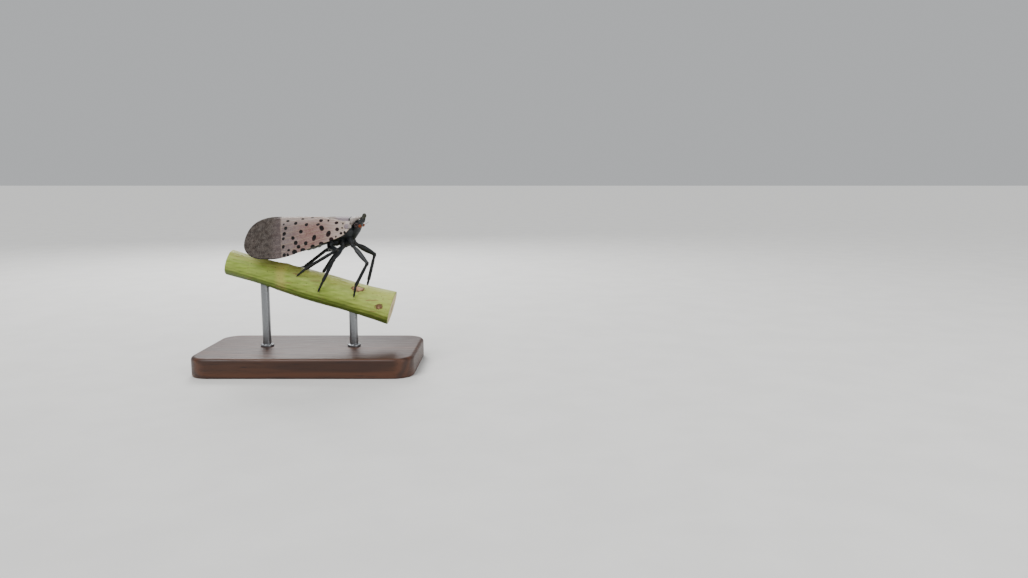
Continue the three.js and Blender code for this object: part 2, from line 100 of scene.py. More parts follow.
for name, (kind, place, target, size, strength) in studioLights.items():
    light = bpy.data.lights.new(name, kind)
    light.energy = strength
    if kind == "SUN":
        light.angle = math.radians(size)
    else:
        light.shape = "DISK"
        light.size = size * 0.001
    lamp = addToScene(name, light)
    lamp.location = Vector(place) * 0.001
    lamp.rotation_euler = (Vector(target) - Vector(place)).to_track_quat("-Z", "Y").to_euler()

world = bpy.data.worlds.new("paleStudio")
world.use_nodes = True
background = world.node_tree.nodes["Background"]
background.inputs["Color"].default_value = sky["colour"]
background.inputs["Strength"].default_value = sky["strength"]
bpy.context.scene.world = world
print("camera and lights set")


# Small helpers
def clamp(value, low=0.0, high=1.0):
    return max(low, min(high, value))


def between(a, b, share):
    return a + (b - a) * share


def smoothStep(low, high, value):
    t = np.clip((value - low) / (high - low), 0, 1)
    return t * t * (3 - 2 * t)


def bell(gap, width):
    return np.exp(-((gap / width) ** 2))


def bend(value, power):  # keeps the sign
    return math.copysign(abs(value) ** power, value)


def turns(count):
    return [2 * math.pi * j / count for j in range(count)]


# A smooth curve through [x, value, ...] knots in rising x, read at a place or at an array of them
def smoothKnots(knots, x, column=1):
    table = np.array(knots, float)
    xs, ys = table[:, 0], table[:, column]
    slopes = np.empty(len(xs))
    slopes[1:-1] = (ys[2:] - ys[:-2]) / (xs[2:] - xs[:-2])
    slopes[0] = (ys[1] - ys[0]) / (xs[1] - xs[0])
    slopes[-1] = (ys[-1] - ys[-2]) / (xs[-1] - xs[-2])
    x = np.clip(x, xs[0], xs[-1])
    i = np.clip(np.searchsorted(xs, x, side="right") - 1, 0, len(xs) - 2)
    h = xs[i + 1] - xs[i]
    t = (x - xs[i]) / h
    rise = ys[i] * (2 * t**3 - 3 * t**2 + 1) + ys[i + 1] * (3 * t**2 - 2 * t**3)
    return rise + slopes[i] * h * (t**3 - 2 * t**2 + t) + slopes[i + 1] * h * (t**3 - t**2)


def readSections(knots, x):
    return [float(smoothKnots(knots, x, column)) for column in range(1, len(knots[0]))]


def makeObject(name, points, faces, edges=()):
    mesh = bpy.data.meshes.new(name)
    mesh.from_pydata([tuple(map(float, p)) for p in points], list(edges), faces)
    mesh.update()
    return addToScene(name, mesh)


def outward(thing):
    bm = bmesh.new()
    bm.from_mesh(thing.data)
    bmesh.ops.recalc_face_normals(bm, faces=bm.faces)
    bm.to_mesh(thing.data)
    bm.free()


# An attribute at every point: a number, or a vector
def giveAttribute(thing, name, values):
    values = np.asarray(values, np.float32)
    kind, field = ("FLOAT", "value") if values.ndim == 1 else ("FLOAT_VECTOR", "vector")
    thing.data.attributes.new(name, kind, "POINT").data.foreach_set(field, values.ravel())


# Modifiers become plain mesh, and the modifiers go
def settle(thing):
    bpy.context.view_layer.update()
    graph = bpy.context.evaluated_depsgraph_get()
    live = thing.evaluated_get(graph)
    mesh = bpy.data.meshes.new_from_object(live, preserve_all_data_layers=True, depsgraph=graph)
    thing.modifiers.clear()
    thing.data = mesh
    mesh.name = thing.name


def finishPiece(thing, slotName, material, *replaced):
    thing.data.transform(toFrame)
    thing.data.materials.clear()
    thing.data.materials.append(material)
    thing.data.polygons.foreach_set("material_index", [0] * len(thing.data.polygons))
    thing.data.shade_smooth()
    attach(thing, "root")
    if replaced:
        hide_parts(*replaced)
    print("  piece", thing.name, sum(len(p.vertices) - 2 for p in thing.data.polygons), "triangles")


# Rings across a path, turned with it. A radius may be squashed across, and lobes make long ridges.
def pathRings(path, radii, count=20, across=1.0, lobes=0, lobeDepth=0.0):
    rings = []
    for i, point in enumerate(path):
        axis = (path[min(i + 1, len(path) - 1)] - path[max(i - 1, 0)]).normalized()
        wide = axis.cross(Vector((0, 0, 1))).normalized()
        tall = wide.cross(axis)
        ring = []
        for turn in turns(count):
            radius = radii[i] * (1 + lobeDepth * math.cos(lobes * turn))
            ring.append(point + wide * (math.cos(turn) * radius * across) + tall * (math.sin(turn) * radius))
        rings.append(ring)
    return rings


# Closed lofts, limbs and balls, gathered before they become one mesh
class Shape:
    roundSteps = 5  # rings at a limb's round end

    def __init__(self, points=(), faces=()):
        self.points, self.faces = list(points), list(faces)

    def loft(self, rings):
        start, count = len(self.points), len(rings[0])
        for ring in rings:
            self.points.extend(ring)
        last = len(self.points) - count
        for a in range(start, last):
            b = a + 1 if (a + 1 - start) % count else a + 1 - count
            self.faces.append((a, b, b + count, a + count))
        self.faces.append(tuple(range(start + count - 1, start - 1, -1)))
        self.faces.append(tuple(range(last, last + count)))
        return self

    # From a to b with round ends, as thick as [share, radius] knots say
    def limb(self, a, b, thickness, steps=30, **form):
        a, b = Vector(a), Vector(b)
        way = (b - a).normalized()
        first, last = thickness[0][1], thickness[-1][1]
        quarter = [math.pi / 2 * k / self.roundSteps for k in range(self.roundSteps + 1)]
        path = [a - way * first * math.cos(turn) * 0.8 for turn in quarter[:-1]]
        radii = [max(0.01, first * math.sin(turn)) for turn in quarter[:-1]]
        for i in range(steps + 1):
            path.append(a.lerp(b, i / steps))
            radii.append(float(smoothKnots(thickness, i / steps)))
        path += [b + way * last * math.sin(turn) * 0.8 for turn in quarter[1:]]
        radii += [max(0.01, last * math.cos(turn)) for turn in quarter[1:]]
        return self.loft(pathRings(path, radii, **form))

    def ball(self, centre, radii, count=20, steps=12):
        rings = []
        for i in range(steps + 1):
            turn = math.pi * clamp(i / steps, 0.004, 0.996)
            wide, deep = radii[0] * math.sin(turn), radii[1] * math.sin(turn)
            middle = Vector(centre) - Vector((0, 0, radii[2] * math.cos(turn)))
            rings.append([middle + Vector((wide * math.cos(a), deep * math.sin(a), 0)) for a in turns(count)])
        return self.loft(rings)

    def piece(self, name, **attributes):
        thing = makeObject(name, self.points, self.faces)
        for label, values in attributes.items():
            giveAttribute(thing, label, values)
        outward(thing)
        return thing


# Faces of a sheet of two layers of points, closed round its rim
def sheetFaces(rows, columns):
    layer = rows * columns
    faces = []
    for i in range(rows - 1):
        for a in range(i * columns, (i + 1) * columns - 1):
            faces.append((a, a + columns, a + columns + 1, a + 1))
            faces.append((layer + a, layer + a + 1, layer + a + columns + 1, layer + a + columns))
    rim = list(range(columns - 1)) + [(i + 1) * columns - 1 for i in range(rows - 1)]
    rim += list(range(layer - 1, layer - columns, -1)) + [i * columns for i in range(rows - 1, 0, -1)]
    for a, b in zip(rim, rim[1:] + rim[:1]):
        faces.append((a, b, b + layer, a + layer))
    return faces


def colour(code):
    channels = [int(code[i : i + 2], 16) / 255 for i in (0, 2, 4)]
    return tuple(c / 12.92 if c <= 0.04045 else ((c + 0.055) / 1.055) ** 2.4 for c in channels) + (1.0,)


# A node tree with short ways to add what the finishes and the growing trees use
class Nodes:
    def __init__(self, tree):
        self.tree = tree

    def add(self, kind, inputs=None, **settings):
        node = self.tree.nodes.new(kind)
        for key, value in settings.items():
            setattr(node, key, value)
        for key, value in (inputs or {}).items():
            self.feed(node.inputs[key], value)
        return node

    def feed(self, socket, value):
        if isinstance(value, bpy.types.NodeSocket):
            self.tree.links.new(value, socket)
        else:
            socket.default_value = value

    def mix(self, share, a, b):
        a, b = (colour(c) if isinstance(c, str) else c for c in (a, b))
        return self.add("ShaderNodeMix", {0: share, 6: a, 7: b}, data_type="RGBA").outputs[2]

    def remap(self, value, low, high, out=(0, 1)):
        ends = {"Value": value, "From Min": low, "From Max": high, "To Min": out[0], "To Max": out[1]}
        return self.add("ShaderNodeMapRange", ends, interpolation_type="SMOOTHSTEP").outputs[0]

    # From a to b as the value goes from low to high, and no further than most
    def tone(self, value, low, high, a, b, most=1):
        return self.mix(self.remap(value, low, high, (0, most)), a, b)

    def maths(self, operation, a, b=0.0):
        return self.add("ShaderNodeMath", {0: a, 1: b}, operation=operation).outputs[0]

    def times(self, a, b):
        return self.maths("MULTIPLY", a, b)

    def plus(self, a, b):
        return self.maths("ADD", a, b)

    def vectors(self, operation, a, b):
        return self.add("ShaderNodeVectorMath", {0: a, 1: b}, operation=operation).outputs[0]

    def split(self, vector):
        return self.add("ShaderNodeSeparateXYZ", {"Vector": vector}).outputs

    def upward(self):
        return self.split(self.add("ShaderNodeNewGeometry").outputs["Normal"])["Z"]

    def speckle(self, scale, detail=4.0, rough=0.55, vector=None):
        settings = {"Vector": vector or self.vector, "Scale": scale, "Detail": detail, "Roughness": rough}
        return self.add("ShaderNodeTexNoise", settings).outputs["Fac"]

    def sway(self, size, scale, detail, rough=0.55):  # noise round zero
        return self.times(self.maths("SUBTRACT", self.speckle(scale, detail, rough), 0.5), size)

    def cells(self, scale):
        return self.add("ShaderNodeTexVoronoi", {"Vector": self.vector, "Scale": scale}).outputs["Distance"]


# A node group. Its inputs are given with their values, or with their kind where they have none. Where
# its nodes are fed a string that names one of these inputs, they get that input.
class NodeGroup(Nodes):
    def __init__(self, name, inputs, outputs, kind="ShaderNodeTree"):
        super().__init__(bpy.data.node_groups.new(name, kind))
        sockets = self.tree.interface
        for label, value in inputs.items():
            sort = value if isinstance(value, str) else "Int" if isinstance(value, int) else "Float"
            socket = sockets.new_socket(label, in_out="INPUT", socket_type="NodeSocket" + sort)
            if sort != value:
                socket.default_value = value
        for label, sort in outputs.items():
            sockets.new_socket(label, in_out="OUTPUT", socket_type="NodeSocket" + sort)
        self.given = self.add("NodeGroupInput").outputs
        self.vector = self.given.get("Vector")

    def feed(self, socket, value):
        named = isinstance(value, str) and value in self.given
        super().feed(socket, self.given[value] if named else value)

    def end(self, results):
        self.add("NodeGroupOutput", results)
        return self.tree


# Horn-like grain: broad mottling, fine pits, and a height for bumps
def buildHornGrain():
    outputs = {"Mottle": "Float", "Fine": "Float", "Height": "Float"}
    g = NodeGroup("hornGrain", {"Vector": "Vector", "Size": 0.2, "Pits": 0.5}, outputs)
    scale = g.maths("DIVIDE", 1.0, "Size")
    mottle = g.remap(g.speckle(g.times(scale, 0.3), 3), 0.35, 0.65)
    fine = g.speckle(g.times(scale, 2.2), 5, 0.65)
    pitted = g.times(g.remap(g.cells(scale), 0.0, 0.45), "Pits")
    height = g.plus(pitted, g.times(fine, 0.5))
    return g.end({"Mottle": mottle, "Fine": g.remap(fine, 0.3, 0.7), "Height": height})


# Waxy powder that settles on what faces up, broken into flecks
def buildWaxBloom():
    inputs = {"Vector": "Vector", "Fleck": 6.0, "Amount": 0.5, "Lean": 0.5}
    g = NodeGroup("waxBloom", inputs, {"Mask": "Float"})
    lying = g.remap(g.upward(), -0.7, 1.0)
    flecks = g.remap(g.speckle("Fleck", 6, 0.7), 0.38, 0.66)
    patches = g.remap(g.speckle(g.times("Fleck", 0.17), 2), 0.3, 0.62)
    leaning = g.add("ShaderNodeMix", {0: "Lean", 2: 1.0, 3: lying}).outputs[0]
    return g.end({"Mask": g.times(g.times(g.times(flecks, patches), leaning), "Amount")})


hornGrain = buildHornGrain()
waxBloom = buildWaxBloom()


# A piece's material
class Finish(Nodes):
    def __init__(self, name, constants, stretch=(1, 1, 1)):
        self.material = bpy.data.materials.new(name)
        self.material.use_nodes = True
        super().__init__(self.material.node_tree)
        self.shader = self.tree.nodes["Principled BSDF"]
        for key, value in constants.items():
            self.shader.inputs[key].default_value = value
        self.place = self.add("ShaderNodeTexCoord").outputs["Object"]
        self.vector = self.millimetres(stretch)

    # Object coordinates in millimetres round the insect's zero
    def millimetres(self, stretch):
        scale, shift = [1000 * s for s in stretch], (0, 0, -bodyLevel * stretch[2])
        inputs = {"Vector": self.place, "Scale": scale, "Location": shift}
        return self.add("ShaderNodeMapping", inputs).outputs["Vector"]

    def read(self, name):
        return self.add("ShaderNodeAttribute", attribute_name=name).outputs["Fac"]

    def grain(self, size, pits):
        inputs = {"Vector": self.vector, "Size": size, "Pits": pits}
        return self.add("ShaderNodeGroup", inputs, node_tree=hornGrain).outputs

    def bloom(self, fleck, amount, lean):
        inputs = {"Vector": self.vector, "Fleck": fleck, "Amount": amount, "Lean": lean}
        return self.add("ShaderNodeGroup", inputs, node_tree=waxBloom).outputs["Mask"]

    # Roughness and bumps from the horn's grain
    def horny(self, base, grain, rough, strength, depth):
        return self.done(base, self.remap(grain["Fine"], 0, 1, rough), grain["Height"], strength, depth)

    def done(self, base, rough, height=None, strength=0.0, depth=0.0):
        self.feed(self.shader.inputs["Base Color"], base)
        self.feed(self.shader.inputs["Roughness"], rough)
        if height is not None:
            inputs = {"Height": height, "Strength": strength, "Distance": depth * 0.001}
            self.feed(self.shader.inputs["Normal"], self.add("ShaderNodeBump", inputs).outputs["Normal"])
        return self.material


# A Geometry Nodes tree. It takes a mesh or points, its sizes and a material.
class Growth(NodeGroup):
    def __init__(self, name, inputs):
        inputs = {"Geometry": "Geometry", **inputs, "Material": "Material"}
        super().__init__(name, inputs, {"Geometry": "Geometry"}, "GeometryNodeTree")

    def named(self, name, kind="FLOAT"):
        source = self.add("GeometryNodeInputNamedAttribute", {"Name": name}, data_type=kind)
        return source.outputs["Attribute"]

    # A thing on every point, standing along its way
    def onPoints(self, points, thing, way, size):
        turned = self.add("FunctionNodeAlignRotationToVector", {"Vector": way}, axis="Z").outputs["Rotation"]
        inputs = {"Points": points, "Instance": thing, "Rotation": turned, "Scale": size}
        return self.add("GeometryNodeInstanceOnPoints", inputs).outputs[0]

    def onMarkedPoints(self, thing):
        way, size = self.named("way", "FLOAT_VECTOR"), self.named("size")
        return self.end(self.onPoints("Geometry", thing, way, size))

    def end(self, geometry):
        real = self.add("GeometryNodeRealizeInstances", {"Geometry": geometry}).outputs[0]
        coated = self.add("GeometryNodeSetMaterial", {"Geometry": real, "Material": "Material"})
        return super().end({"Geometry": coated.outputs[0]})


def grow(thing, tree, material, values):
    modifier = thing.modifiers.new(tree.name, "NODES")
    modifier.node_group = tree
    values = {**values, "Material": material}
    for socket in tree.interface.items_tree:
        if socket.in_out == "INPUT" and socket.name in values:
            modifier[socket.identifier] = values[socket.name]
    settle(thing)


# Veins: loose edges of a wing's mesh become tapering tubes along its face
def buildWingVeins():
    g = Growth("wingVeins", {"Sides": 5, "Thickness": 1.0})
    marked = g.named("veinLine", "BOOLEAN")
    lines = g.add("GeometryNodeMeshToCurve", {"Mesh": "Geometry", "Selection": marked}).outputs[0]
    ring = g.add("GeometryNodeCurvePrimitiveCircle", {"Resolution": "Sides", "Radius": 1.0}).outputs[0]
    width = g.times(g.named("veinWidth"), "Thickness")
    tube = {"Curve": lines, "Profile Curve": ring, "Scale": width, "Fill Caps": True}
    tubes = g.add("GeometryNodeCurveToMesh", tube).outputs[0]
    sheet = {"Geometry": "Geometry", "Selection": marked}
    plain = g.add("GeometryNodeDeleteGeometry", sheet, domain="EDGE").outputs[0]
    both = g.add("GeometryNodeJoinGeometry", {0: plain})
    g.feed(both.inputs[0], tubes)
    return g.end(both.outputs[0])


# Thorns: a small cone on every point, along the point's "way" and as long as its "size"
def buildThorns():
    g = Growth("thorns", {"Sides": 8, "Length": 1.0, "Base": 0.1, "Tip": 0.02})
    cone = {"Vertices": "Sides", "Radius Top": "Tip", "Radius Bottom": "Base", "Depth": "Length"}
    return g.onMarkedPoints(g.add("GeometryNodeMeshCone", {**cone, "Side Segments": 4}).outputs["Mesh"])


# Beads: small domes on every point, flattened along the point's "way"
def buildBeads():
    g = Growth("beads", {"Radius": 0.03, "Flatness": 0.6, "Fineness": 1})
    ball = {"Radius": "Radius", "Subdivisions": "Fineness"}
    dome = g.add("GeometryNodeMeshIcoSphere", ball).outputs["Mesh"]
    low = g.add("ShaderNodeCombineXYZ", {0: 1.0, 1: 1.0, 2: "Flatness"}).outputs[0]
    return g.onMarkedPoints(g.add("GeometryNodeTransform", {"Geometry": dome, "Scale": low}).outputs[0])


# Bristles: fine hairs scattered where the "hairy" attribute lets them, lying towards the limb's end
def buildBristles():
    sizes = {"Density": 8.0, "Spacing": 0.1, "Length": 0.2, "Root": 0.01, "Lean": 0.6, "Seed": 7}
    g = Growth("bristles", sizes)
    scatter = {"Mesh": "Geometry", "Distance Min": "Spacing", "Density Max": "Density", "Seed": "Seed"}
    scatter["Density Factor"] = g.named("hairy")
    kind = "GeometryNodeDistributePointsOnFaces"
    roots = g.add(kind, scatter, distribute_method="POISSON").outputs
    along = {0: g.named("along", "FLOAT_VECTOR"), "Scale": "Lean"}
    leaning = g.add("ShaderNodeVectorMath", along, operation="SCALE").outputs[0]
    ends = {"Min": (-0.25, -0.25, -0.25), "Max": (0.25, 0.25, 0.25), "Seed": "Seed"}
    spread = g.add("FunctionNodeRandomValue", ends, data_type="FLOAT_VECTOR").outputs["Value"]
    way = g.vectors("ADD", g.vectors("ADD", roots["Normal"], leaning), spread)
    ends = {2: 0.6, 3: 1.25, "Seed": "Seed"}
    size = g.add("FunctionNodeRandomValue", ends, data_type="FLOAT").outputs[1]
    cone = {"Vertices": 4, "Radius Top": 0.002, "Radius Bottom": "Root", "Depth": "Length"}
    hair = g.add("GeometryNodeMeshCone", {**cone, "Side Segments": 1}, fill_type="NONE").outputs["Mesh"]
    return g.end(g.onPoints(roots["Points"], hair, way, size))


wingVeins = buildWingVeins()
thorns = buildThorns()
beads = buildBeads()
bristles = buildBristles()


# Thorns or beads on points with a way and a size each
def growOnPoints(name, places, ways, sizes, tree, material, form):
    thing = makeObject(name, places, [])
    giveAttribute(thing, "size", sizes)
    giveAttribute(thing, "way", [tuple(way) for way in ways])
    grow(thing, tree, material, form)
    return thing


print("tools ready")

# The tent of the wings
tent = {
    "ridgeLevel": 7.85,
    "front": {"x": 6.0, "ridgeTilt": 0.0, "slope": 72.0, "shoulder": 3.4},
    "rear": {"x": -5.0, "ridgeTilt": 18.0, "slope": 68.0, "shoulder": 4.2},
}


# Points of the tent's face: x along, across from the ridge (its sign is the side), depth inwards
def tentPoints(x, across, depth=0.0):
    x, across, depth = np.broadcast_arrays(*(np.asarray(v, float) for v in (x, across, depth)))
    front, rear = tent["front"], tent["rear"]
    k = np.clip((front["x"] - x) / (front["x"] - rear["x"]), 0, 1.2)
    start = np.radians(between(front["ridgeTilt"], rear["ridgeTilt"], k))
    end = np.radians(between(front["slope"], rear["slope"], k))
    shoulder = between(front["shoulder"], rear["shoulder"], k)
    radius = shoulder / (end - start)
    reach = np.abs(across)
    angle = start + np.minimum(reach, shoulder) / radius
    straight = np.maximum(0, reach - shoulder)
    y = radius * (np.sin(angle) - np.sin(start)) + straight * np.cos(end)
    drop = radius * (np.cos(start) - np.cos(angle)) + straight * np.sin(end)
    side = np.where(across < 0, -1.0, 1.0)
    level = tent["ridgeLevel"] - drop - depth * np.cos(angle)
    return np.stack([x, side * (y - depth * np.sin(angle)), level], axis=-1)


shield = {
    "tip": 3.1, "front": 8.85, "fullAt": 7.3,
    "halfWidth": 2.1, "tipHalfWidth": 0.35, "under": 0.28,
    "rows": 120, "columns": 96,
    "thickness": 0.3, "crown": 0.1,
    "keels": (-0.54, 0.0, 0.54), "keel": 0.07, "keelWidth": 0.045,
    "groove": 0.06, "grooveAt": 5.6,
    "bandAt": 8.62,
}


def shieldHalf(x):
    share = np.clip((x - shield["tip"]) / (shield["fullAt"] - shield["tip"]), 0, 1)
    half = between(shield["tipHalfWidth"], shield["halfWidth"], share**0.9)
    return half * smoothStep(shield["tip"] - 0.5, shield["tip"] + 0.1, x)


# One wing's points, faces and vein lines, with what its finish reads at each point. Across the wing,
# a share of 0 is the inner margin and 1 the costal margin.
class WingMesh:
    slimRim = 0.12  # how far in from its rim the sheet thins out

    def __init__(self, side, inner, costal, pleat):
        self.side, self.inner, self.costal, self.pleat = side, inner, costal, pleat
        self.points, self.faces, self.veins = [], [], []
        self.marks = {"wingX": [], "wingAcross": [], "wingEdge": [], "veinness": [], "veinWidth": []}

    def across(self, x, share):
        low, high = self.inner(x), self.costal(x)
        return low + (high - low) * share

    def addPoints(self, x, across, depth, edge, veinness, width):
        self.points.extend(tentPoints(x, self.side * across, depth).reshape(-1, 3).tolist())
        for marks, values in zip(self.marks.values(), (x, across, edge, veinness, width)):
            marks.extend(np.broadcast_to(values, x.shape).ravel().tolist())

    def addSheet(self, xs, shares, thickness):
        x, share = np.meshgrid(xs, shares, indexing="ij")
        edge = np.minimum(share, 1 - share) * (self.costal(x) - self.inner(x))
        slim = np.sqrt(np.clip(1 - (1 - np.clip(edge / self.slimRim, 0, 1)) ** 2, 0.05, 1))
        for face in (-0.5, 0.5):
            depth = self.pleat(x, share) + thickness / 2 + face * thickness * slim
            self.addPoints(x, self.across(x, share), depth, edge, 0.0, 0.0)
        self.faces = sheetFaces(*x.shape)
        self.sheetCount = len(self.points)

    def addLine(self, x, across, depth, width, edge=1.0, veinness=1.0):
        start = len(self.points)
        self.addPoints(x, across, depth, edge, veinness, width)
        self.veins.extend((i, i + 1) for i in range(start, len(self.points) - 1))

    def addVein(self, x, share, width, lift=0.0, veinness=1.0):
        self.addLine(x, self.across(x, share), self.pleat(x, share) - lift, width, veinness=veinness)

    def finish(self, name, wing, material):
        thing = makeObject(f"{wing}_skin_{name}", self.points, self.faces, self.veins)
        for mark, values in self.marks.items():
            giveAttribute(thing, mark, values)
        flags = [edge.vertices[0] >= self.sheetCount for edge in thing.data.edges]
        thing.data.attributes.new("veinLine", "BOOLEAN", "EDGE").data.foreach_set("value", flags)
        grow(thing, wingVeins, material, {"Sides": 5, "Thickness": 1.0})
        outward(thing)
        finishPiece(thing, wing, material, f"{wing}_{name}")


# Forewings
forewing = {
    "root": 8.7,
    "tip": -12.05,
    "tipAcross": 6.9,
    "innerRound": -6.4,
    "costalRound": -8.4,
    "costal": [
        (-8.4, 10.0), (-5.5, 9.95), (-3, 9.35), (0, 8.15), (3, 6.95), (6, 5.85), (7.7, 4.9), (8.7, 3.7),
    ],
    "meeting": 0.05,  # from the middle line to the inner margin
    "thickness": 0.15,
    "rows": 200,
    "columns": 88,
    "nodalLine": -5.4,  # at the ridge, from where it leans forwards
    "nodalLean": 0.115,
    # share of the width at root, middle and tip, and thickness
    "mainVeins": [
        (0.13, 0.09, 0.13, 0.075),
        (0.26, 0.20, 0.25, 0.06),
        (0.38, 0.34, 0.37, 0.06),
        (0.48, 0.47, 0.50, 0.055),
        (0.58, 0.59, 0.62, 0.055),
        (0.69, 0.72, 0.75, 0.065),
        (0.84, 0.88, 0.87, 0.075),
    ],
    "pleat": 0.035,
    "pleatWidth": 0.028,
    "wave": 0.02,
    "rimInset": 0.02,
    "rimDepth": 0.07,
    "costalVein": (0.035, 0.12),  # at the tip and at the root
    "innerVein": 0.05,
    "nodalVein": 0.045,
    "baseLines": 17,
    "baseVein": 0.024,
    "baseCross": 0.02,
    "baseCell": 0.62,
    "baseSway": 0.012,
    "baseRipple": 0.006,
    "baseLean": 0.12,
    "shortestCross": 0.16,
    "tipLineSpacing": 0.27,
    "tipReach": 9.8,
    "tipVein": 0.028,
    "tipCross": 0.024,
    "tipCell": 0.36,
    "tipSway": 0.05,
    "tipLean": 0.04,
    "seed": 5,
    "spotGrowth": 1.08,
    "spotCorner": 2.2,  # 2 is an ellipse, and more is squarer
    # dark spots: x, across, half length along, half length across
    "spots": [
        (-4.5, 2.7, 0.15, 0.2), (-4, 3.6, 0.3, 0.35), (-4.2, 4.8, 0.3, 0.4), (-4.3, 5.8, 0.25, 0.3),
        (-4.2, 7.5, 0.25, 0.35), (-3.9, 9.2, 0.3, 0.35), (-3.8, 1.8, 0.3, 0.3), (-2.1, 2.5, 0.3, 0.35),
        (-0.9, 1.3, 0.3, 0.25), (-0.9, 4.4, 0.35, 0.35), (0.1, 2.9, 0.3, 0.35), (-2.4, 5.7, 0.3, 0.35),
        (-1.8, 6.7, 0.35, 0.4), (-1.2, 7.5, 0.35, 0.35), (0.2, 6.8, 0.35, 0.4), (-3.1, 8.2, 0.25, 0.25),
        (-3.2, 9.2, 0.2, 0.35), (-1.9, 8.6, 0.45, 0.45), (-0.3, 8.2, 0.45, 0.4), (1.6, 7.5, 0.4, 0.4),
        (3.3, 6.9, 0.45, 0.35), (5.2, 6, 0.4, 0.35), (1.8, 5.7, 0.35, 0.6), (2.4, 2.9, 0.35, 0.25),
        (2.9, 1.9, 0.35, 0.4), (1, 0.8, 0.25, 0.25), (3.2, 3.7, 0.4, 0.55), (4.6, 4.9, 0.4, 0.6),
        (4.4, 2, 0.2, 0.3), (6.1, 2.6, 0.35, 0.3), (6.5, 1.6, 0.25, 0.3), (6.3, 4, 0.35, 0.35),
        (7.4, 2.8, 0.15, 0.2), (7.1, 4.8, 0.25, 0.25), (7.8, 4.6, 0.2, 0.25), (6.1, 5.5, 0.15, 0.2),
        (4.5, 1.1, 0.15, 0.2), (7.3, 3.7, 0.15, 0.15),
    ],
}
root, tip, nodalLine = forewing["root"], forewing["tip"], forewing["nodalLine"]


def innerMargin(x):
    beside = forewing["meeting"] + shieldHalf(x)
    share = np.clip((forewing["innerRound"] - x) / (forewing["innerRound"] - tip), 0, 1)
    rise = forewing["tipAcross"] - forewing["meeting"]
    rounded = forewing["tipAcross"] - rise * (1 - share**1.8) ** (1 / 1.8)
    return np.where(x > forewing["innerRound"], beside, rounded)


def costalMargin(x):
    share = np.clip((forewing["costalRound"] - x) / (forewing["costalRound"] - tip), 0, 1)
    widest = forewing["costal"][0][1]
    rounded = forewing["tipAcross"] + (widest - forewing["tipAcross"]) * np.sqrt(1 - share**2)
    return np.where(x > forewing["costalRound"], smoothKnots(forewing["costal"], x), rounded)


def nodalAt(across):
    return nodalLine + forewing["nodalLean"] * across


def veinShare(course, x):
    return smoothKnots([(0, course[0]), (0.5, course[1]), (1, course[2])], (root - x) / (root - tip))


# Gentle pleats along the main veins, as a change of depth
def forewingPleat(x, share):
    lift = sum(bell(share - veinShare(course, x), forewing["pleatWidth"]) for course in forewing["mainVeins"])
    lift = lift * between(0.25, 1.0, smoothStep(nodalLine - 2.5, nodalLine + 0.5, x))
    fade = smoothStep(0.0, 0.2, share) * smoothStep(1.0, 0.8, share)
    return forewing["wave"] * np.sin(x * 1.9 + share * 9) * fade - forewing["pleat"] * lift


def spotDistance(x, across, side):
    picker = random.Random(forewing["seed"] + (side > 0))
    nearest = np.full(np.shape(x), 9.0)
    for sx, sa, rx, ra in forewing["spots"]:
        if side > 0:
            sx, sa = sx + picker.uniform(-0.15, 0.15), sa + picker.uniform(-0.15, 0.15)
            rx, ra = rx * picker.uniform(0.85, 1.15), ra * picker.uniform(0.85, 1.15)
        rx, ra = rx * forewing["spotGrowth"], ra * forewing["spotGrowth"]
        turn = picker.uniform(-0.4, 0.4)
        dx, da = x - sx, across - sa
        u = (dx * math.cos(turn) + da * math.sin(turn)) / rx
        v = (da * math.cos(turn) - dx * math.sin(turn)) / ra
        corner = forewing["spotCorner"]
        squarish = (np.abs(u) ** corner + np.abs(v) ** corner) ** (1 / corner)
        nearest = np.minimum(nearest, (squarish - 1) * min(rx, ra))
    return nearest


# Main veins, thinner past the nodal line, the rim and the nodal line itself
def addMainVeins(wing):
    x = np.linspace(root - 0.8, nodalLine - 2.2, 150)
    for course in forewing["mainVeins"]:
        width = course[3] * between(0.3, 1.0, smoothStep(nodalLine - 1.9, nodalLine + 0.6, x))
        wing.addVein(x, veinShare(course, x), width)
    x = between(root, tip + 0.01, np.sin(np.linspace(0, 1, 260) * 0.997 * math.pi / 2))
    inset, depth = forewing["rimInset"], forewing["rimDepth"]
    width = between(*forewing["costalVein"], smoothStep(tip - 1, root, x))
    wing.addLine(x, costalMargin(x) - inset, depth, width, edge=0.0)
    wing.addLine(x, innerMargin(x) + inset, depth, forewing["innerVein"], edge=0.0)
    share = np.linspace(0.02, 0.98, 90)
    wing.addVein(nodalAt(10 * share) + 0.06 * np.sin(share * 37), share, forewing["nodalVein"])


# Network of the base: wavering lines with staggered cross veins
def addBaseNetwork(wing, picker):
    x = np.linspace(root - 0.85, nodalLine, 130)
    lines = []
    for k, centre in enumerate(np.linspace(0.03, 0.97, forewing["baseLines"])):
        sway = forewing["baseSway"] * np.sin(x * (1.1 + 0.13 * (k % 5)) + k * 2.1)
        lines.append(centre + sway + forewing["baseRipple"] * np.sin(x * 3.7 + k))
        shown = x > nodalAt(wing.across(x, lines[k]))
        wing.addVein(x[shown], lines[k][shown], forewing["baseVein"], 0.004, veinness=0.8)
    for line, nextLine in zip(lines, lines[1:]):
        at = nodalAt(9.5 * line[-1]) + picker.uniform(0.1, 0.5)
        while at < root - 1.0:
            i = int(np.interp(at, x[::-1], np.arange(len(x))[::-1]))
            a, b = line[i], nextLine[i]
            if (costalMargin(at) - innerMargin(at)) * (b - a) > forewing["shortestCross"]:
                lean = picker.uniform(-forewing["baseLean"], forewing["baseLean"])
                share = np.linspace(a, b, 4)
                cross = at + lean * (share - a) / (b - a)
                wing.addVein(cross, share, forewing["baseCross"], 0.002, veinness=0.8)
            at += forewing["baseCell"] * picker.uniform(0.7, 1.35)


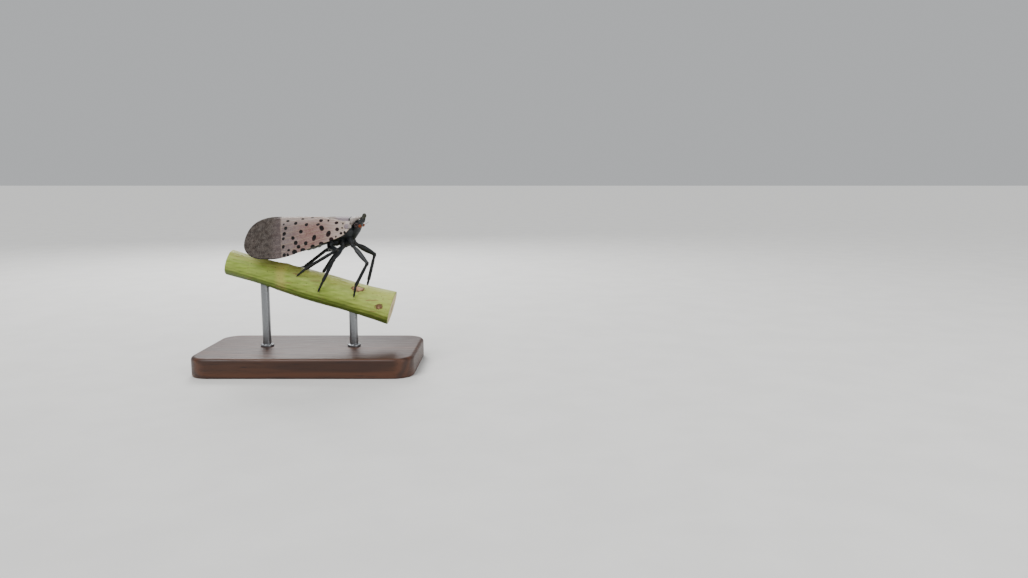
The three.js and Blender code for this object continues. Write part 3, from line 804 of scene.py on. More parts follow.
# Brickwork of the tip: close long lines with short cross veins between
def addTipNetwork(wing, picker):
    def addCourse(x, across, width, lift):
        share = (across - innerMargin(x)) / np.maximum(costalMargin(x) - innerMargin(x), 0.01)
        wing.addVein(x, share, width, lift, veinness=0.9)

    lines = []
    for k in range(int(forewing["tipReach"] / forewing["tipLineSpacing"])):
        across = 0.25 + k * forewing["tipLineSpacing"]
        x = np.arange(nodalAt(across) - 0.05, tip + 0.06, -0.13)
        fan = (x - nodalLine) * 0.03 * (across - 5.5) / 5
        a = across + forewing["tipSway"] * np.sin(x * 1.3 + k * 0.9) + fan
        inside = (a > innerMargin(x) + 0.05) & (a < costalMargin(x) - 0.05)
        lines.append((x[inside], a[inside]))
        if len(lines[k][0]) > 2:
            addCourse(*lines[k], forewing["tipVein"], 0.004)
    for (x, a), (nextX, nextA) in zip(lines, lines[1:]):
        if min(len(x), len(nextX)) < 3:
            continue
        at = min(x[0], nextX[0]) - picker.uniform(0, forewing["tipCell"])
        while at > max(x[-1], nextX[-1]):
            cross = np.linspace(np.interp(-at, -x, a), np.interp(-at, -nextX, nextA), 3)
            lean = picker.uniform(-forewing["tipLean"], forewing["tipLean"])
            addCourse(at + lean * np.linspace(-1, 1, 3), cross, forewing["tipCross"], 0.002)
            at -= forewing["tipCell"] * picker.uniform(0.75, 1.3)


def forewingMesh(side):
    wing = WingMesh(side, innerMargin, costalMargin, forewingPleat)
    rows = np.linspace(0, 1, forewing["rows"])
    columns = np.linspace(0, 1, forewing["columns"])
    xs = between(root, tip + 0.003, np.sin(rows * 0.995 * math.pi / 2) * 0.35 + rows * 0.65)
    wing.addSheet(xs, columns - 0.1 * np.sin(2 * math.pi * columns) / math.pi, forewing["thickness"])
    picker = random.Random(forewing["seed"])
    addMainVeins(wing)
    addBaseNetwork(wing, picker)
    addTipNetwork(wing, picker)
    return wing


def forewingMaterial():
    f = Finish("forewingMembrane", {"Specular IOR Level": 0.17})
    x, across, veins = f.read("wingX"), f.read("wingAcross"), f.read("veinness")
    mottle, fine = f.speckle(0.9, 3), f.speckle(7, 5, 0.7)
    paleWaxAndHighlight = "b9aca5"
    pink = f.tone(mottle, 0.35, 0.65, "72504b", "7e5f5b")
    base = f.tone(x, 1.0, -4.4, pink, f.tone(fine, 0.3, 0.7, "6f6060", "625756"))
    # painted highlight: paler over the wing's rounded, upward-facing top beside the ridge
    base = f.tone(across, 3.6, 0.8, base, paleWaxAndHighlight, 0.6)
    # the wing's own paler root
    base = f.tone(x, 2.4, 8.0, base, paleWaxAndHighlight)
    base = f.tone(veins, 0.3, 1.0, base, "a8937f", 0.6)
    cells = f.tone(mottle, 0.3, 0.7, f.tone(fine, 0.3, 0.7, "100d0b", "1e1814"), "2b211a")
    tipEnd = f.tone(veins, 0.3, 0.8, cells, f.tone(mottle, 0.3, 0.7, "5b5049", "483e37"))
    tipEnd = f.tone(x, -7.6, -5.0, tipEnd, "776669", 0.3)
    nodal = f.plus(f.plus(x, f.times(across, -forewing["nodalLean"])), f.sway(0.54, 1.6, 3))
    wing = f.tone(nodal, -5.25, -5.65, base, tipEnd)
    wing = f.mix(f.bloom(9.0, 0.3, 0.4), wing, "b5aaa2")
    darkRim = f.times(f.remap(f.read("wingEdge"), 0.24, 0.08), f.remap(x, -4.6, -6.2, (0, 0.85)))
    wing = f.mix(darkRim, wing, "14110f")
    maroon = f.times(f.remap(x, -0.5, 2.5), f.remap(f.speckle(1.1, 2), 0.42, 0.6))
    spot = f.tone(fine, 0.4, 0.8, f.mix(maroon, "030202", "1e0608"), "160c0c", 0.4)
    edge = f.plus(f.read("spotDistance"), f.sway(0.11, 4, 3, 0.5))
    wing = f.tone(edge, 0.035, -0.02, wing, spot)
    return f.done(wing, f.remap(fine, 0.2, 0.8, (0.42, 0.62)), f.speckle(11, 4, 0.6), 0.35, 0.03)


wingFinish = forewingMaterial()
for name, side in sides.items():
    wing = forewingMesh(side)
    places = (np.array(wing.marks[mark]) for mark in ("wingX", "wingAcross"))
    wing.marks["spotDistance"] = spotDistance(*places, side)
    wing.finish(name, "forewing", wingFinish)
print("forewings made")

# Hindwings, folded under the forewings
hindwing = {
    "root": 3.1,
    "tip": -9.2,
    "inner": 0.8,
    "inset": 0.9,
    "round": 4.6,
    "tipAcross": 5.4,
    "depth": 0.75,
    "thickness": 0.1,
    "pleats": 9,
    "pleatDepth": 0.1,
    "rows": 110,
    "columns": 90,
    "veins": 9,
    "vein": 0.035,
    "costalVein": 0.05,
    # dark spots: x, across, radius
    "spots": [
        (2.0, 2.2, 0.35), (0.6, 3.6, 0.4), (1.2, 5.0, 0.4), (-0.8, 2.0, 0.4),
        (-0.9, 5.6, 0.45), (-1.9, 3.9, 0.38), (2.4, 4.4, 0.3),
    ],
}


def hindwingRound(x):
    share = np.clip((hindwing["tip"] + hindwing["round"] - x) / hindwing["round"], 0, 1)
    return np.sqrt(1 - share**2)


def hindInner(x):
    return between(hindwing["tipAcross"], hindwing["inner"], hindwingRound(x))


def hindCostal(x):
    return between(hindwing["tipAcross"], costalMargin(x) - hindwing["inset"], hindwingRound(x))


def hindPleat(x, share):
    fold = np.abs(((share * hindwing["pleats"]) % 1.0) * 2 - 1)
    return hindwing["depth"] + hindwing["pleatDepth"] * (fold - 0.5) * 2


def hindwingMesh(side):
    wing = WingMesh(side, hindInner, hindCostal, hindPleat)
    turn = np.linspace(0, 1, hindwing["rows"])
    x = between(hindwing["root"], hindwing["tip"] + 0.003, np.sin(turn * 0.99 * math.pi / 2))
    wing.addSheet(x, np.linspace(0, 1, hindwing["columns"]), hindwing["thickness"])
    for k in range(hindwing["veins"]):
        share = (k + 0.5) / hindwing["veins"] + 0.01 * np.sin(x[:-4] * 1.4 + k)
        wing.addVein(x[:-4], share, hindwing["vein"])
    wing.addLine(x, hindCostal(x) - 0.02, hindPleat(x, 1.0) + 0.05, hindwing["costalVein"])
    wing.addLine(x, hindInner(x) + 0.02, hindPleat(x, 0.0) + 0.05, hindwing["vein"])
    return wing


def hindwingMaterial():
    f = Finish("hindwingMembrane", {"Specular IOR Level": 0.35})
    fine = f.speckle(6, 5, 0.65)
    red = f.tone(fine, 0.3, 0.7, "b8261c", "9c1d18")
    white = f.tone(fine, 0.3, 0.7, "e3ddd0", "cfc6b8")
    black = f.tone(fine, 0.3, 0.7, "141112", "262022")
    place = f.plus(f.read("wingX"), f.sway(1.6, 1.2, 3))
    wing = f.tone(place, -2.6, -3.0, red, white)
    wing = f.tone(place, -4.9, -5.3, wing, black)
    wing = f.tone(f.read("spotDistance"), 0.05, -0.05, wing, black)
    wing = f.tone(f.read("veinness"), 0.3, 1.0, wing, "3a1512", 0.7)
    return f.done(wing, f.remap(fine, 0.2, 0.8, (0.45, 0.65)), f.speckle(12, 4, 0.6), 0.3, 0.02)


hindFinish = hindwingMaterial()
for name, side in sides.items():
    wing = hindwingMesh(side)
    x, across = (np.array(wing.marks[mark]) for mark in ("wingX", "wingAcross"))
    gaps = [np.hypot(x - sx, across - sa) - radius for sx, sa, radius in hindwing["spots"]]
    wing.marks["spotDistance"] = np.minimum(9.0, np.min(gaps, axis=0))
    wing.finish(name, "hindwing", hindFinish)
print("hindwings made")

# Body sections along the thorax: [station, lowest, highest, half width]
body = {
    "thorax": [
        (2.4, 1.9, 6.0, 1.5), (3.4, 2.15, 6.75, 1.85), (5.0, 2.55, 7.0, 2.2), (6.6, 2.85, 7.05, 2.25),
        (7.8, 3.25, 6.95, 2.05), (8.5, 3.5, 6.5, 1.6), (9.2, 4.0, 6.3, 1.2),
    ],
    "voxel": 0.072,
    "smoothing": 3,
    # plates on the flanks and swellings between the hips: centre and radii
    "plates": [
        ((7.4, 1.78, 5.2), (0.5, 0.46, 0.62)),
        ((6.2, 1.94, 4.95), (0.56, 0.46, 0.66)),
        ((4.8, 1.86, 4.75), (0.62, 0.42, 0.7)),
        ((7.0, 1.6, 4.0), (0.5, 0.46, 0.4)),
        ((5.6, 1.6, 3.75), (0.55, 0.48, 0.4)),
    ],
    "breast": [((5.55, 0.75, 2.6), (0.95, 0.65, 0.72)), ((7.85, 0.5, 2.65), (0.78, 0.62, 0.72))],
    "pleura": [(4.0, 0.2), (5.5, 0.24), (6.8, 0.24), (7.95, 0.16)],  # grooves: station, depth
    "ledge": 0.18,
    "rows": 90,
    "waist": ((2.6, 0, 4.0), (1.2, 0, 3.4), [(0, 1.2), (0.5, 1.15), (1, 1.05)]),
    "neck": ((8.3, 0, 4.9), (9.6, 0, 5.4), [(0, 1.3), (0.5, 1.15), (1, 1.0)]),
}
# The head in level planes: [level, rear, front, half width]
head = {
    "sections": [
        (2.8, 8.5, 8.95, 0.28), (3.3, 8.4, 9.36, 0.55), (3.9, 8.4, 9.8, 0.85), (4.6, 8.5, 10.25, 1.2),
        (5.4, 8.6, 10.6, 1.4), (6.2, 8.8, 10.9, 1.45), (6.8, 9.75, 11.1, 1.2), (7.3, 10.5, 11.3, 0.82),
        (7.7, 10.8, 11.46, 0.5), (8.1, 10.88, 11.6, 0.4), (8.35, 10.98, 11.62, 0.37), (8.5, 11.1, 11.5, 0.2),
    ],
    "rows": 80,
    "sides": 96,
    "keelTurns": (0.52, 0.16),  # radians round from the front
    "keel": 0.07,
    "clypeusLevel": 4.35,
    "suture": 0.05,
    "browLine": 0.05,
    "browLevel": 6.75,
    # balls: centre and radii
    "eyeRim": ((9.95, 1.38, 6.1), (0.64, 0.4, 0.7)),
    "socket": ((10.48, 1.33, 5.98), (0.33, 0.36, 0.33)),
    "knob": ((11.3, 0, 8.0), (0.45, 0.43, 0.49)),
    # limbs: two ends and [share, radius]
    "brows": ((9.0, 0.95, 6.9), (10.6, 0.75, 7.05), [(0, 0.1), (0.5, 0.13), (1, 0.1)]),
    "snout": ((10.9, 0, 7.0), (11.25, 0, 7.9), [(0, 0.55), (1, 0.4)]),
}
rostrum = [((8.6, 0, 2.3), 0.28), ((6.2, 0, 1.3), 0.25), ((3.2, 0, 0.7), 0.16)]
# Hip, bow (the end of the coxa), knee, ankle and foot, each (x, away from the middle, z)
foreHip, midHip, hindHip = (8.1, 0.9, 3.9), (6.7, 1.0, 3.2), (4.6, 0.8, 2.9)
legs = {
    "foreleg_right": [foreHip, (8.9, 1.5, 2.3), (12.4, 4.0, -1.25), (9.95, 3.95, -5.8), (9.4, 3.4, -8.0)],
    "foreleg_left": [foreHip, (8.9, 1.5, 2.3), (12.55, 3.9, -0.2), (11.2, 3.5, -5.6), (10.9, 2.55, -7.3)],
    "midleg_right": [midHip, (7.2, 1.6, 1.9), (5.9, 4.25, -0.3), (3.4, 4.0, -4.9), (2.3, 3.4, -6.9)],
    "midleg_left": [midHip, (7.0, 1.6, 1.9), (4.4, 4.3, 0.2), (1.75, 3.7, -3.9), (1.1, 3.0, -5.1)],
    "hindleg_right": [hindHip, (4.3, 1.5, 1.6), (6.6, 4.6, 1.5), (-0.1, 3.6, -2.45), (-1.95, 2.75, -3.85)],
    "hindleg_left": [hindHip, (4.0, 1.5, 1.6), (3.7, 4.5, 1.7), (-1.9, 3.1, -2.7), (-3.4, 2.4, -3.1)],
}
# Thickness along each part of a leg: [share, radius]
legForm = {
    "coxa": [(0, 0.52), (0.25, 0.62), (0.7, 0.58), (1, 0.42)],
    "trochanter": [(0, 0.38), (0.4, 0.45), (0.8, 0.4), (1, 0.33)],
    "femur": [(0, 0.32), (0.08, 0.36), (0.3, 0.53), (0.6, 0.52), (0.9, 0.38), (1, 0.33)],
    "tibia": [(0, 0.3), (0.05, 0.34), (0.12, 0.26), (0.3, 0.3), (0.75, 0.3), (0.93, 0.32), (1, 0.27)],
    "tarsus": [
        (0, 0.2), (0.3, 0.26), (0.44, 0.24), (0.48, 0.17), (0.52, 0.22),
        (0.66, 0.24), (0.69, 0.16), (0.73, 0.19), (0.92, 0.23), (1, 0.18),
    ],
    "squash": 0.86,  # thickness across to thickness up and down
    "ridges": 4,
    "femurRidge": 0.13,
    "tibiaRidge": 0.2,
    "kneeBall": (0.34, 0.34, 0.34),
    "softReach": (0.5, 0.34, 0.3),  # of the pale skin round bow, knee and ankle
}


def sided(place, side):
    return Vector((place[0], side * place[1], place[2]))


def legPoints(leg):
    side = sides[leg.split("_")[1]]
    return [sided(place, side) for place in legs[leg]]


def stations(sections, steps):
    return [between(sections[0][0], sections[-1][0], i / steps) for i in range(steps + 1)]


def squareRing(x, low, high, half, count=72, square=0.92):
    middle, reach = (low + high) / 2, (high - low) / 2
    ring = []
    for turn in turns(count):
        across, tall = bend(math.cos(turn), square), bend(math.sin(turn), square)
        ring.append(Vector((x, half * across, middle + reach * tall)))
    return ring


def pressIn(point, depth):
    point.y -= math.copysign(min(depth, abs(point.y)), point.y)


def addThorax(shape):
    rings = []
    for x in stations(body["thorax"], body["rows"]):
        low, high, half = readSections(body["thorax"], x)
        rings.append(squareRing(x, low, high, half))
        for point in rings[-1]:
            level = (point.z - low) / (high - low)
            groove = sum(depth * bell(x - at - 0.5 * (level - 0.5), 0.15) for at, depth in body["pleura"])
            flank = clamp((0.85 - level) / 0.2) * clamp((level - 0.08) / 0.2)
            pressIn(point, (groove + body["ledge"] * bell(level - 0.62, 0.05)) * flank)
    shape.loft(rings)


def addPlates(shape):
    for side in sides.values():
        for centre, radii in body["breast"]:
            shape.ball(sided(centre, side), radii, 32, 20)
        for centre, radii in body["plates"]:
            shape.ball(sided(centre, side), radii, 36, 24)
    for part in ("waist", "neck"):
        shape.limb(*body[part], 12, count=40)


# How far the head's surface stands out from its plain section, a turn round from the front
def headRelief(z, turn):
    away = abs((turn + math.pi) % (2 * math.pi) - math.pi)
    fade = clamp((z - 4.3) / 0.4) * clamp((7.9 - z) / 0.6)
    keel = sum(bell(away - at, 0.07) for at in head["keelTurns"]) * head["keel"] * fade
    suture = head["suture"] * bell(z - head["clypeusLevel"] - 0.2 * math.cos(turn), 0.07)
    brow = head["browLine"] * bell(z - head["browLevel"], 0.08) * clamp(1.5 - away)
    return keel + brow - (suture if away < 1.3 else 0)


def addHead(shape):
    rings = []
    for z in stations(head["sections"], head["rows"]):
        rear, front, half = readSections(head["sections"], z)
        ring = []
        for turn in turns(head["sides"]):
            out = headRelief(z, turn)
            x = (rear + front) / 2 + ((front - rear) / 2 + out) * math.cos(turn)
            ring.append(Vector((x, (half + out) * math.sin(turn), z)))
        rings.append(ring)
    shape.loft(rings)
    for side in sides.values():
        for centre, radii in (head["eyeRim"], head["socket"]):
            shape.ball(sided(centre, side), radii)
        rear, front, thickness = head["brows"]
        shape.limb(sided(rear, side), sided(front, side), thickness, 12, count=12)
    shape.limb(*head["snout"], 10, count=28)
    shape.ball(*head["knob"], 32, 20)


def addLeg(shape, leg):
    hip, bow, knee, ankle, foot = legPoints(leg)
    form = {"count": 24, "across": legForm["squash"], "lobes": legForm["ridges"]}
    shape.limb(hip, bow, legForm["coxa"], 20, count=24)
    shape.limb(bow, bow.lerp(knee, 0.14), legForm["trochanter"], 12, count=24)
    shape.limb(bow.lerp(knee, 0.1), knee, legForm["femur"], 44, lobeDepth=legForm["femurRidge"], **form)
    shape.ball(knee, legForm["kneeBall"])
    shape.limb(knee, ankle, legForm["tibia"], 44, lobeDepth=legForm["tibiaRidge"], **form)
    shape.limb(ankle, ankle.lerp(foot, 0.97), legForm["tarsus"], 40, count=20)


def addRostrum(shape):
    for (a, first), (b, last) in zip(rostrum, rostrum[1:]):
        thickness = [(0, first), (0.85, between(first, last, 0.8)), (0.93, last * 0.82), (1, last)]
        shape.limb(a, b, thickness, 30, count=20, lobes=2, lobeDepth=0.06)


shape = Shape()
addThorax(shape)
addHead(shape)
for leg in legs:
    addLeg(shape, leg)
addRostrum(shape)
addPlates(shape)
skin = shape.piece("body_skin")
remesh = skin.modifiers.new("oneSkin", "REMESH")
remesh.mode = "VOXEL"
remesh.voxel_size = body["voxel"]
soften = skin.modifiers.new("soften", "SMOOTH")
soften.factor = 0.5
soften.iterations = body["smoothing"]
settle(skin)
print("body skin joined:", len(skin.data.polygons), "faces")


# What the skin's finish and bristles read: soft joints, how leg-like, which way a limb runs
def markSkin():
    count = len(skin.data.vertices)
    places = np.empty(count * 3)
    skin.data.vertices.foreach_get("co", places)
    places = places.reshape(-1, 3)
    joint, nearest, along = np.zeros(count), np.full(count, 9.0), np.zeros((count, 3))
    for leg in legs:
        points = [np.array(point) for point in legPoints(leg)]
        for point, reach in zip(points[1:4], legForm["softReach"]):
            gap = np.linalg.norm(places - point, axis=1)
            joint = np.maximum(joint, 1 - smoothStep(reach * 0.7, reach * 1.15, gap))
        for a, b in zip(points, points[1:]):
            axis = b - a
            t = np.clip((places - a) @ axis / (axis @ axis), 0, 1)
            gap = np.linalg.norm(places - a - t[:, None] * axis, axis=1)
            closer = gap < nearest
            nearest[closer] = gap[closer]
            along[closer] = axis / np.linalg.norm(axis)
    legLike = 1 - smoothStep(0.45, 0.62, nearest)
    giveAttribute(skin, "joint", joint)
    giveAttribute(skin, "legLike", legLike)
    giveAttribute(skin, "hairy", np.clip(legLike * (1 - 0.8 * joint) + 0.06, 0, 1))
    giveAttribute(skin, "along", along)


def cuticleMaterial():
    f = Finish("blackCuticle", {"Specular IOR Level": 0.33})
    grain, bloom, place = f.grain(0.12, 0.4), f.bloom(8.0, 0.22, 0.75), f.split(f.vector)
    black = f.mix(grain["Mottle"], "040506", "090c0e")
    flank = f.mix(grain["Fine"], "0b0f11", "13191b")
    olive = f.mix(grain["Fine"], "1d1d11", "31321c")
    patch = f.remap(f.speckle(0.8, 2), 0.42, 0.6)
    base = f.mix(f.times(patch, f.maths("SUBTRACT", 1.0, f.read("legLike"))), black, flank)
    knob = f.times(f.remap(place["Z"], 7.15, 7.7), f.remap(place["X"], 10.2, 10.6))
    base = f.mix(knob, base, olive)
    base = f.mix(f.times(f.read("joint"), 0.55), base, "2a2019")
    base = f.mix(bloom, base, "56626a")
    rough = f.plus(f.remap(grain["Fine"], 0.0, 1.0, (0.3, 0.5)), f.times(bloom, 0.4))
    return f.done(base, rough, grain["Height"], 0.75, 0.045)


markSkin()
cuticle = cuticleMaterial()
hairForm = {"Density": 24.0, "Spacing": 0.13, "Length": 0.19, "Root": 0.011, "Lean": 1.1, "Seed": 11}
hair = addToScene("body_bristles", skin.data.copy())
grow(hair, bristles, cuticle, hairForm)
limbNodes = [f"{leg}_{part}" for leg in legs for part in ("coxa", "femur", "tibia", "tarsus")]
finishPiece(skin, "cuticle", cuticle, "head", "thorax", "rostrum_1", "rostrum_2", *limbNodes)
finishPiece(hair, "cuticle", cuticle)
print("body skin made")

# Claws and pads at the feet
footForm = {"claw": 0.46, "clawRadius": 0.075, "spread": 0.55, "curl": 0.28, "pad": (0.17, 0.13, 0.08)}


def addFoot(shape, ankle, foot):
    axis = (foot - ankle).normalized()
    across = axis.cross(Vector((0, 0, 1))).normalized()
    down = axis.cross(across)
    if down.z > 0:
        down = -down
    for k in (-1, 1):
        path, radii = [], []
        for t in (i / 14 for i in range(15)):
            out = k * footForm["spread"] * footForm["claw"] * math.sin(t * 1.4)
            way = axis * (footForm["claw"] * t) + across * out
            path.append(foot + axis * -0.06 + way + down * (footForm["curl"] * t * t))
            radii.append(footForm["clawRadius"] * (1 - t) ** 0.7 + 0.006)
        shape.loft(pathRings(path, radii, 12))
    shape.ball(foot + axis * 0.14 + down * 0.05, footForm["pad"], 16, 10)


def clawMaterial():
    f = Finish("darkHorn", {"Specular IOR Level": 0.6})
    grain = f.grain(0.08, 0.2)
    base = f.mix(grain["Mottle"], "120e0c", "2e2018")
    return f.horny(base, grain, (0.22, 0.4), 0.25, 0.02)


horn = clawMaterial()
shape = Shape()
for leg in legs:
    addFoot(shape, *legPoints(leg)[3:])
finishPiece(shape.piece("claws"), "cuticle", horn)

# Spines down the hind shins, and short teeth round every ankle
shinForm = {"Sides": 12, "Length": 0.72, "Base": 0.1, "Tip": 0.012}
ankleFan = [(k / 4 - 0.5) * 0.9 * math.pi for k in range(5)]
# share of the shin, turns round it, lean along it, how far out it starts, size
hindSpines = [(share, [0], 0.9, 0.12, 0.82 + 0.2 * share) for share in (0.3, 0.44, 0.58, 0.72, 0.86)]
hindSpines += [(0.95, ankleFan, 0.75, 0.1, 0.62)]
otherSpines = [(0.955, turns(6), 0.9, 0.12, 0.28)]
places, ways, sizes = [], [], []
for leg in sorted(legs, key=lambda leg: "hind" not in leg):
    knee, ankle = legPoints(leg)[2:4]
    axis = (ankle - knee).normalized()
    side = sides[leg.split("_")[1]]
    hind = leg.startswith("hind")
    start = Vector((0, side, 0)) - axis * side * axis.y if hind else axis.cross(Vector((0, 0, 1)))
    for share, angles, lean, out, size in hindSpines if hind else otherSpines:
        for angle in angles:
            way = (Matrix.Rotation(angle, 3, axis) @ start.normalized() + axis * lean).normalized()
            places.append(knee.lerp(ankle, share) + way * out)
            ways.append(way)
            sizes.append(size)
shinSpines = growOnPoints("shin_spines", places, ways, sizes, thorns, horn, shinForm)
finishPiece(shinSpines, "cuticle", horn)
print("claws and spines made")


# Even directions all round, at an icosphere's corners
def roundWays(subdivisions):
    bm = bmesh.new()
    bmesh.ops.create_icosphere(bm, subdivisions=subdivisions, radius=1.0)
    ways = [v.co.copy() for v in bm.verts]
    bm.free()
    return ways


# Eyes: a ball under a net of small facets
eye = {
    "at": (10.0, 1.5, 6.1), "radii": (0.57, 0.44, 0.61),
    "facets": 5, "facetRadius": 0.023,
    "ocellus": ((0.72, 0.1, -0.28), (0.1, 0.1, 0.1)),  # from the eye's middle, and radii
}


def eyeMaterial():
    f = Finish("compoundEye", {"Specular IOR Level": 0.6, "Coat Weight": 0.35, "Coat Roughness": 0.15})
    fine = f.speckle(5, 4)
    base = f.tone(fine, 0.3, 0.7, "1c0706", "300f0a")
    base = f.tone(f.cells(22.0), 0.1, 0.5, base, "1c0a0a", 0.5)
    return f.done(base, f.remap(fine, 0.2, 0.8, (0.16, 0.32)))


eyeFinish = eyeMaterial()
for name, side in sides.items():
    centre = sided(eye["at"], side)
    a, b, c = (r - eye["facetRadius"] * 0.6 for r in eye["radii"])
    shown = [way for way in roundWays(eye["facets"]) if way.y * side > -0.3]
    places = [centre + Vector((way.x * a, way.y * b, way.z * c)) for way in shown]
    normals = [Vector((way.x / a, way.y / b, way.z / c)).normalized() for way in shown]
    sizes, form = [1.0] * len(places), {"Radius": eye["facetRadius"], "Flatness": 1.0}
    facets = growOnPoints("eye_facets_" + name, places, normals, sizes, beads, eyeFinish, form)
    globe = Shape().ball(centre, (a, b, c), 64, 40)
    globe.ball(centre + sided(eye["ocellus"][0], side), eye["ocellus"][1])
    finishPiece(globe.piece("eye_globe_" + name), "eye", eyeFinish, "eye_" + name)
    finishPiece(facets, "eye", eyeFinish)
print("eyes made")


# Antennae: a short stalk, a warty orange bulb and a thin bristle
antenna = {
    "at": (10.7, 1.75, 6.0), "bulb": 0.33, "way": (0.7, 0.8, 0.35),
    "stalk": [(0, 0.2), (0.4, 0.23), (0.7, 0.2), (1, 0.24)], "stalkReach": (0.16, 0.42, 0.0),
    "bristle": 1.55, "bristleBow": 0.12,
    "warts": 4, "wart": 0.03,
}


def antennaMaterial():
    constants = {"Specular IOR Level": 0.45, "Subsurface Weight": 0.1, "Subsurface Scale": 0.0003}
    f = Finish("orangeAntenna", constants)
    grain = f.grain(0.07, 0.3)
    base = f.mix(grain["Mottle"], "7d330c", "964c18")
    base = f.mix(f.times(grain["Fine"], 0.35), base, "5f2408")
    base = f.tone(f.read("bristle"), 0.05, 0.4, base, "2a1c14")
    return f.horny(base, grain, (0.38, 0.55), 0.3, 0.02)


antennaFinish = antennaMaterial()
for name, side in sides.items():
    centre = sided(antenna["at"], side)
    way = sided(antenna["way"], side).normalized()
    radius, hidden = antenna["bulb"] * 0.95, antenna["bulb"] * 0.8
    start = centre - sided(antenna["stalkReach"], side)
    feeler = Shape().limb(start, centre, antenna["stalk"], 16, count=32)
    feeler.ball(centre, (radius,) * 3, 40, 26)
    plain = len(feeler.points)
    path, radii = [], []
    for t in (i / 40 for i in range(41)):
        rise = Vector((0, 0, antenna["bristleBow"] * t * t))
        path.append(centre + way * (hidden + t * (antenna["bristle"] - hidden)) + rise)
        radii.append(0.02 + 0.075 * math.exp(-t * 14) + 0.022 * (1 - t))
    feeler.loft(pathRings(path, radii, 12))
    share = [0.0] * plain + [clamp(i // 12 / 12) for i in range(len(feeler.points) - plain)]
    skinned = feeler.piece("antenna_skin_" + name, bristle=share)
    dots = [dot for dot in roundWays(antenna["warts"]) if dot.dot(way) > -0.4]
    sizes = [0.8 + 0.1 * ((i * 7) % 5) for i in range(len(dots))]
    places, form = [centre + dot * radius for dot in dots], {"Radius": antenna["wart"], "Flatness": 0.9}
    warts = growOnPoints("antenna_warts_" + name, places, dots, sizes, beads, antennaFinish, form)
    finishPiece(skinned, "antenna", antennaFinish, "antenna_" + name)
    finishPiece(warts, "antenna", antennaFinish)
print("antennae made")


# Collar, shield and wing-root caps
def notumMaterial():
    f = Finish("greyNotum", {"Specular IOR Level": 0.35})
    grain, x = f.grain(0.16, 0.55), f.split(f.vector)["X"]
    grey = f.mix(grain["Mottle"], "8b827c", "a59b95")
    grey = f.mix(f.times(grain["Fine"], 0.3), grey, "5d534e")
    notum = f.tone(x, 8.7, 8.3, grey, f.mix(grain["Fine"], "6b5e66", "82747d"))
    notum = f.tone(x, 6.6, 4.8, notum, f.mix(grain["Fine"], "6e6157", "857769"))
    # painted shade: near black in the gap just behind the collar and in the crease round the wing-root caps
    notum = f.tone(f.read("blackMark"), 0.3, 0.6, notum, "141214")
    notum = f.mix(f.bloom(7.0, 0.4, 0.5), notum, "bdb5ae")
    return f.horny(notum, grain, (0.5, 0.72), 0.8, 0.05)


notumFinish = notumMaterial()

collar = {
    "sections": [
        (8.75, 5.9, 7.74, 2.1), (9.0, 6.0, 7.8, 2.12), (9.3, 6.35, 7.84, 1.98),
        (9.7, 6.9, 7.87, 1.63), (10.3, 7.28, 7.87, 1.03), (10.62, 7.45, 7.84, 0.6),
    ],
    "keel": 0.05,
    "dimple": 0.05,
    "rim": 0.04,
    "wrinkle": 0.02,
    "uneven": 0.03,
    "rows": 60,
    "sides": 120,
    "square": 0.92,
}


# The collar's keel, dimples, rear rim and unevenness
def collarRelief(x, c, s):
    wrinkle = collar["wrinkle"] * math.sin(x * 21 + 2 * c * c) * abs(c)
    relief = collar["rim"] * bell(x - 8.87, 0.06) + wrinkle
    relief += collar["uneven"] * noise.noise(Vector((x * 3.1, c * 5, s * 5)))
    if s > 0:
        relief += collar["keel"] * bell(c, 0.06)
        relief -= collar["dimple"] * bell(abs(c) - 0.42, 0.16) * bell(x - 9.6, 0.3)
    return relief


rings = []
for x in stations(collar["sections"], collar["rows"]):
    low, high, half = readSections(collar["sections"], x)
    ring = []
    for turn in turns(collar["sides"]):
        c, s = math.cos(turn), math.sin(turn)
        tall = (high - low) / 2 + collarRelief(x, c, s)
        across, rise = half * bend(c, collar["square"]), tall * bend(s, collar["square"])
        ring.append(Vector((x, across, (low + high) / 2 + rise)))
    rings.append(ring)
pronotum = Shape().loft(rings).piece("collar_plate", blackMark=[0.0] * len(rings) * len(rings[0]))
finishPiece(pronotum, "notum", notumFinish, "pronotum")

xs = np.linspace(shield["front"], shield["tip"] - 0.15, shield["rows"])
x, share = np.meshgrid(xs, np.linspace(-1, 1, shield["columns"]), indexing="ij")
half = np.maximum(shieldHalf(np.maximum(x, shield["tip"])), 0.06)
half += shield["under"] * smoothStep(shield["tip"] - 0.15, shield["tip"] + 0.6, x)
lift = shield["crown"] * (1 - share**2)
for at in shield["keels"]:
    lift += shield["keel"] * bell(share - at, shield["keelWidth"]) * smoothStep(3.3, 5.0, x)
lift -= shield["groove"] * bell(x - shield["grooveAt"] + 1.2 * share**2, 0.12)
layers = [tentPoints(x, share * half, depth) for depth in (0.17 - lift, 0.2 + shield["thickness"])]
# painted shade: a dark band across the shield just behind the collar's rear rim
band = smoothStep(0.3, 0.1, np.abs(x - shield["bandAt"] - 0.06 * np.cos(share * 5))).ravel()
plate = Shape(np.concatenate(layers).reshape(-1, 3), sheetFaces(*x.shape))
plate = plate.piece("shield_plate", blackMark=np.concatenate([band, band]))
finishPiece(plate, "notum", notumFinish, "scutellum")

